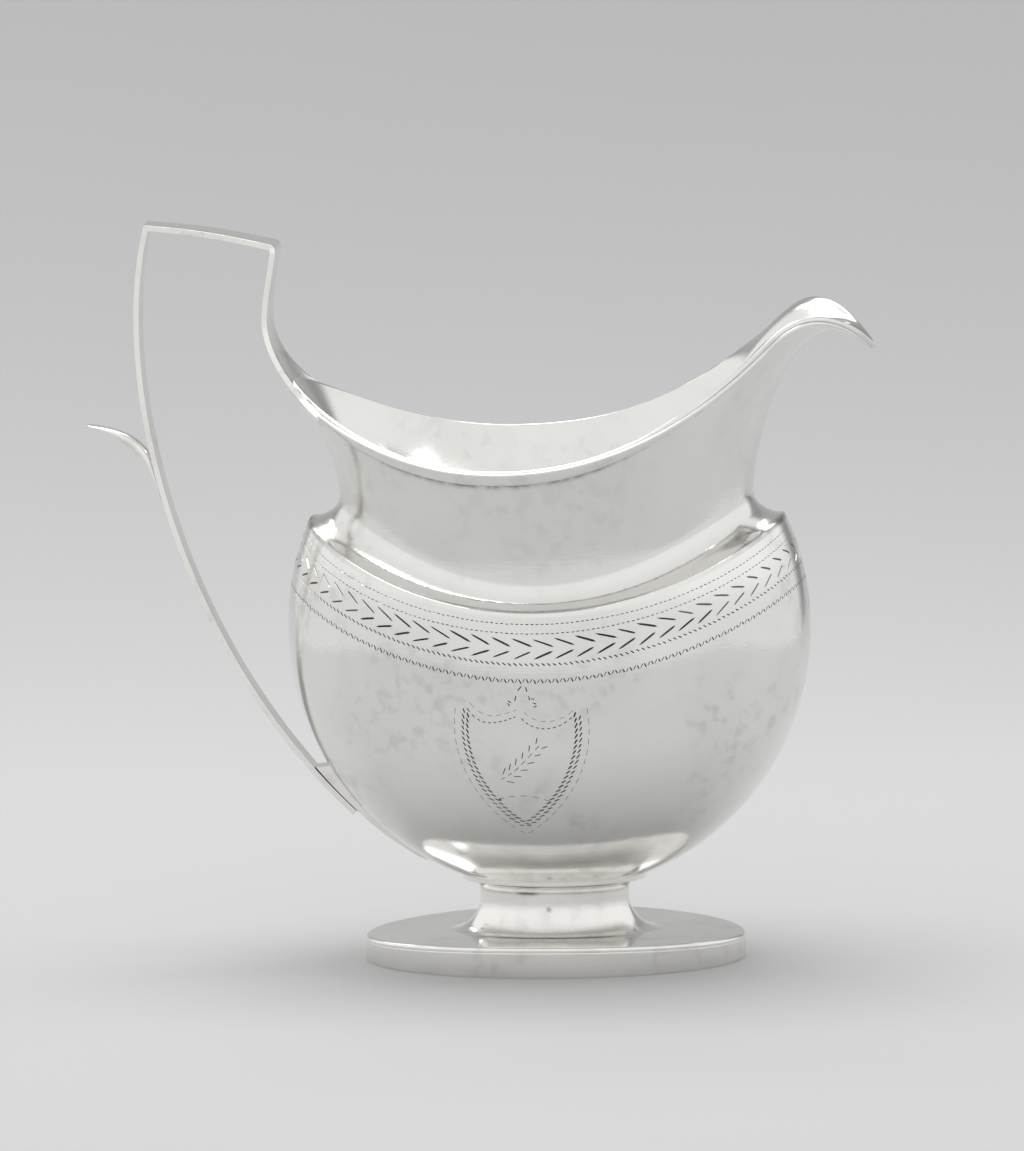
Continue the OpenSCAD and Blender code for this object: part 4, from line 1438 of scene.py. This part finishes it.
@dataclass
class Foot:
    """The oval spool foot: a hollow stem that flares into a bowed plate, and its edge strip."""

    form: JugForm
    shift: float
    stem_finish: SilverFinish
    rim_finish: SilverFinish
    turns: int = 256

    def build(self) -> list[bpy.types.Object]:
        """Makes the stem with its plate, and the strip under the plate's edge.

        Returns:
            The two pieces.
        """
        pieces = [self._stem(), self._strip()]
        for piece, node, slot in zip(pieces, ("foot_stem", "foot_rim"), ("stem_silver", "foot_rim_silver")):
            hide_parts(node)
            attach(piece, BODY)
        return pieces

    def _stem(self) -> bpy.types.Object:
        """Stem and plate as one sheet, from the bowl down to the plate's edge and back inside."""
        f = self.form
        turn = np.linspace(0, 2 * math.pi, self.turns, endpoint=False)
        ratio = f.foot_b / f.foot_a
        flare_end = f.stem_a + f.stem_flare
        flare_z = float(f.plate_height(np.array(flare_end)))
        rows = []

        def oval(a: float, z: np.ndarray) -> np.ndarray:
            """An oval ring of the stem at a height."""
            return np.stack([a * np.cos(turn), a * ratio * np.sin(turn), z + 0 * turn], -1)

        def bowl_height(a: float) -> np.ndarray:
            """Height of the bowl's underside along such a ring."""
            return f.bowl_under(a * np.cos(turn), a * ratio * np.sin(turn))

        edge_a, edge_z = f.stem_a + f.collar_reach, f.collar_z + f.collar_rise
        rows.append(oval(edge_a, bowl_height(edge_a)))
        rows.append(oval(edge_a, mix(edge_z, bowl_height(edge_a), 0.3)))
        rows.append(oval(edge_a - 0.02, np.array(edge_z + 0.06)))
        for u in np.linspace(math.pi / 2, 0, 15)[1:]:
            rows.append(oval(f.stem_a + f.collar_reach * (1 - math.cos(u)),
                             np.array(f.collar_z + f.collar_rise * math.sin(u))))
        for share in np.linspace(1, 0, 6)[1:]:
            rows.append(oval(f.stem_a, np.array(mix(flare_z + f.stem_flare, f.collar_z, share))))
        for u in np.linspace(0, math.pi / 2, 26)[1:]:
            a = flare_end - f.stem_flare * math.cos(u)
            z = flare_z + f.stem_flare * (1 - math.sin(u))
            top = f.plate_height(a * np.cos(turn))
            rows.append(oval(a, np.maximum(z, 0) + np.maximum(top - z, 0) * self._settle(u)))
        for share in np.linspace(0, 1, 16)[1:]:
            a = mix(flare_end, f.foot_a - 0.6, share)
            b = mix(flare_end * ratio, f.foot_b - 0.6, share)
            z = f.plate_height(a * np.cos(turn))
            rows.append(np.stack([a * np.cos(turn), b * np.sin(turn), z], -1))
        for u in np.linspace(0, math.pi / 2, 7)[1:]:
            rows.append(self._edge(turn, 0.6 * (1 - math.sin(u)), 0.5 * (1 - math.cos(u))))
        rows.append(self._edge(turn, 0.0, f.sheet))
        for share in np.linspace(0, 1, 10)[1:]:
            a = mix(f.foot_a, flare_end + 0.8, share)
            b = mix(f.foot_b, (flare_end + 0.8) * ratio, share)
            rows.append(np.stack([a * np.cos(turn), b * np.sin(turn),
                                  f.plate_height(a * np.cos(turn)) - f.sheet], -1))
        for u in np.linspace(math.pi / 2, 0, 20)[1:]:
            a = flare_end - (f.stem_flare + f.sheet) * math.cos(u)
            z = flare_z + f.stem_flare - (f.stem_flare + f.sheet) * math.sin(u)
            rows.append(oval(a, np.array(z)))
        bore = f.stem_a - f.sheet
        for share in np.linspace(0, 1, 6)[1:]:
            rows.append(oval(bore, mix(flare_z + f.stem_flare, bowl_height(bore), share)))
        stem = RingSkin("foot_stem_silver", np.array(rows), looped=True).build(self.shift)
        soften(stem, 40)
        self._mark_joint(stem)
        stem.data.materials.append(self.stem_finish.build())
        return stem

    def _mark_joint(self, stem: bpy.types.Object) -> None:
        """Stores a dark line along the crease under the collar, on the front, and a small pit of grime on the
        front.
        """
        f = self.form
        co = jug_points(stem, self.shift)
        ring = np.exp(-((co[:, 2] - f.collar_z) / 0.28) ** 2) * (co[:, 1] < 0)
        gap = 0.25 + 0.75 * np.exp(-((co[:, 0] + 4.3) / 1.9) ** 4)
        pit_place = [-0.3, -f.foot_b / f.foot_a * f.stem_a, 10.6]
        pit = np.exp(-(np.linalg.norm(co - pit_place, axis=1) / 0.42) ** 2)
        store_grime_and_shade(stem, np.maximum(ring * gap, pit))

    def _settle(self, u: float) -> float:
        """How far the flare has settled on to the bowed plate at an angle of its arc."""
        return float(np.clip((u / (math.pi / 2) - 0.45) / 0.55, 0, 1) ** 2)

    def _edge(self, turn: np.ndarray, inset: float, drop: float) -> np.ndarray:
        """Ring at the plate's edge, set in by an inset and lowered by a drop."""
        f = self.form
        x = (f.foot_a - inset) * np.cos(turn)
        return np.stack([x, (f.foot_b - inset) * np.sin(turn), f.plate_height(x) - drop], -1)

    def _strip(self) -> bpy.types.Object:
        """The upright strip, swept round the oval under the plate's edge."""
        f = self.form
        turn = np.linspace(0, 2 * math.pi, 400, endpoint=False)
        a, b = f.foot_a - f.foot_strip / 2, f.foot_b - f.foot_strip / 2
        normal = unit(np.stack([np.cos(turn) / a, np.sin(turn) / b, 0 * turn], -1))
        x = a * np.cos(turn)
        height = f.plate_height(x) - f.sheet
        base = np.stack([x, b * np.sin(turn), height / 2], -1) - normal * f.foot_strip / 2
        across = np.stack([0 * turn, 0 * turn, height / 2], -1)
        return SweptBar("foot_strip_silver", base, across, f.foot_strip * normal, closed=True,
                        section_points=36, squareness=0.12).build(self.rim_finish.build(), self.shift)


# -------------------------------------------------------------------- studio
@dataclass(frozen=True)
class Softbox:
    """A rectangular lamp aimed at the jug."""

    name: str
    place: tuple[float, float, float]
    size: tuple[float, float]
    radiance: float

    def build(self, aim: Vector) -> None:
        """Adds the lamp, pointed at a place."""
        light = bpy.data.lights.new(self.name, "AREA")
        light.shape = "RECTANGLE"
        light.size, light.size_y = self.size
        light.energy = self.radiance * math.pi * self.size[0] * self.size[1]
        obj = bpy.data.objects.new(self.name, light)
        place = Vector(self.place)
        turned = (aim - place).to_track_quat("-Z", "Y").to_matrix().to_4x4()
        obj.matrix_world = Matrix.Translation(place) @ turned
        bpy.context.scene.collection.objects.link(obj)


@dataclass
class Studio:
    """Camera, pale sweep and a soft white room."""

    shift: float
    azimuth: float = 6.0
    elevation: float = 9.0
    roll: float = 1.24
    distance: float = 2500.0
    scale: float = 0.1874
    image: tuple[float, float] = (1024.0, 1151.0)
    base: tuple[float, float] = (558.1, 956.4)
    body_offset: float = 0.35
    softboxes: tuple[Softbox, ...] = (
        Softbox("rear_softbox", (-0.18, 0.80, 0.80), (0.90, 0.40), 2.6),
        Softbox("overhead_softbox", (0.0, 0.14, 1.10), (0.80, 0.60), 4.8),
    )

    def build(self) -> None:
        """Sets up everything that isn't the jug."""
        self._camera()
        self._sweep()
        self._world()
        for box in self.softboxes:
            box.build(Vector((self.shift * MM, 0, 0.07)))
        bpy.context.scene.view_settings.view_transform = "Standard"

    def _camera(self) -> None:
        """Places the camera at the view's angle, with a long lens."""
        a, e, r = (math.radians(v) for v in (self.azimuth, self.elevation, self.roll))
        ahead = Vector((-math.sin(a) * math.cos(e), math.cos(a) * math.cos(e), -math.sin(e)))
        right = Vector((math.cos(a), math.sin(a), 0))
        up = right.cross(ahead)
        right, up = right * math.cos(r) - up * math.sin(r), right * math.sin(r) + up * math.cos(r)
        dx = (self.base[0] - self.image[0] / 2) * self.scale
        dy = (self.image[1] / 2 - self.base[1]) * self.scale
        place = -self.distance * ahead - dx * right - dy * up
        place.x += self.shift + self.body_offset
        camera = bpy.data.cameras.new("camera")
        camera.sensor_width = 36.0
        camera.lens = self.distance / self.scale * 36.0 / max(self.image)
        camera.clip_start, camera.clip_end = 0.05, 30.0
        obj = bpy.data.objects.new("camera", camera)
        obj.matrix_world = Matrix.Translation(place * MM) @ Matrix(
            (right, up, -ahead)).transposed().to_4x4()
        bpy.context.scene.collection.objects.link(obj)
        bpy.context.scene.camera = obj

    def _sweep(self) -> None:
        """One curved sheet of paper: floor in front, rising into a backdrop."""
        front, bend, radius, top = -0.252, 0.24, 0.42, 0.62
        profile = [(y, 0.0) for y in np.linspace(front, bend, 24)]
        arc = np.linspace(0, math.pi / 2, 33)[1:]
        profile += [(bend + radius * math.sin(t), radius - radius * math.cos(t)) for t in arc]
        profile += [(bend + radius, z) for z in np.linspace(radius, top, 6)[1:]]
        xs = np.linspace(-0.34, 0.34, 17)
        a = math.radians(self.azimuth)
        co = np.array([(x * math.cos(a) - y * math.sin(a), x * math.sin(a) + y * math.cos(a), z)
                       for y, z in profile for x in xs])
        n = len(xs)
        faces = [[i * n + j, i * n + j + 1, (i + 1) * n + j + 1, (i + 1) * n + j]
                 for i in range(len(profile) - 1) for j in range(n - 1)]
        mesh = bpy.data.meshes.new("paper_sweep")
        mesh.from_pydata(co.tolist(), [], faces)
        mesh.shade_smooth()
        mesh.materials.append(PaperFinish("pale_paper").build())
        sweep = bpy.data.objects.new("paper_sweep", mesh)
        bpy.context.scene.collection.objects.link(sweep)

    def _world(self) -> None:
        """A white room, with dark gaps on both sides of the backdrop."""
        world = bpy.data.worlds.new("soft_room")
        bpy.context.scene.world = world
        world.use_nodes = True
        t = Tree(world.node_tree)
        way = t.add("ShaderNodeTexCoord").outputs["Generated"]
        level = t.add("ShaderNodeSeparateXYZ", {0: way}).outputs
        tone = self._ramp(t, t.math("MULTIPLY_ADD", level[2], 0.5, 0.5),
                          ((0.0, 0.80), (0.49, 0.82), (0.53, 0.86), (0.58, 1.0), (0.8, 1.0), (1.0, 0.9)))
        turn = t.math("ARCTAN2", t.math("ABSOLUTE", level[0]), level[1])
        gap = self._ramp(t, t.math("DIVIDE", turn, math.pi),
                         ((0.0, 0.35), (0.20, 0.35), (0.25, 1.0), (1.0, 1.0)))
        low = self._ramp(t, level[2], ((0.0, 0.0), (0.55, 0.0), (0.7, 1.0), (1.0, 1.0)))
        gap = t.math("MAXIMUM", gap, low)
        glow = t.add("ShaderNodeBackground", {"Strength": t.math("MULTIPLY", tone, gap)})
        glow.inputs["Color"].default_value = (1.0, 1.0, 1.0, 1.0)
        out = t.add("ShaderNodeOutputWorld")
        t.tree.links.new(glow.outputs[0], out.inputs[0])

    def _ramp(self, t: Tree, value: bpy.types.NodeSocket,
              stops: tuple[tuple[float, float], ...]) -> bpy.types.NodeSocket:
        """Maps a value through grey stops.

        Args:
            t: The tree being written.
            value: What is looked up.
            stops: Pairs of place and tone.

        Returns:
            The tone.
        """
        ramp = t.add("ShaderNodeValToRGB", {0: value})
        bar = ramp.color_ramp
        while len(bar.elements) < len(stops):
            bar.elements.new(0.5)
        for element, (at, tone) in zip(bar.elements, stops):
            element.position = at
            element.color = (tone, tone, tone, 1)
        return t.add("ShaderNodeSeparateColor", {0: ramp.outputs[0]}).outputs[0]


def main() -> None:
    """Builds the studio and the jug in order, and reports each piece."""
    logging.basicConfig(level=logging.INFO, format="%(name)s: %(message)s")
    low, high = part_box("bowl")
    shift = round((low.x + high.x) / 2 / MM, 2)
    form = JugForm()
    Studio(shift).build()
    pieces = [
        Bowl(form, shift, SilverFinish("bowl_silver_finish"),
             SilverFinish("engraved_cut_finish", colour=(0.22, 0.215, 0.20), dull=(0.10, 0.095, 0.09),
                          roughness=0.42)).build(),
        Neck(form, shift, SilverFinish("neck_silver_finish", colour=(0.785, 0.78, 0.76),
                                       spot_depth=0.3)).build(),
        RimWire(form, shift, SilverFinish("wire_silver_finish", colour=(0.79, 0.785, 0.765),
                                          roughness=0.17)).build(),
    ]
    # Painted light: the strap's silver is lighter than the bowl's, which brightens its reflections.
    pieces += Handle(form, shift, SilverFinish("strap_silver_finish", colour=(0.89, 0.88, 0.855),
                                               roughness=0.16)).build()
    # Painted light: the stem's silver is lighter than the bowl's, so that the plate's dim reflection of the
    # far paper comes out brighter.
    pieces += Foot(form, shift,
                   SilverFinish("stem_silver_finish", colour=(0.88, 0.87, 0.845), spot_depth=0.25,
                                hammer_strength=0.16),
                   SilverFinish("foot_rim_silver_finish", colour=(0.87, 0.86, 0.84), spot_depth=0.3,
                                roughness=0.18)).build()
    for piece in pieces:
        size = piece.dimensions / MM
        LOG.info("%s: %.1f x %.1f x %.1f mm, %d faces", piece.name, *size, len(piece.data.polygons))


if __name__ == "__main__":
    main()
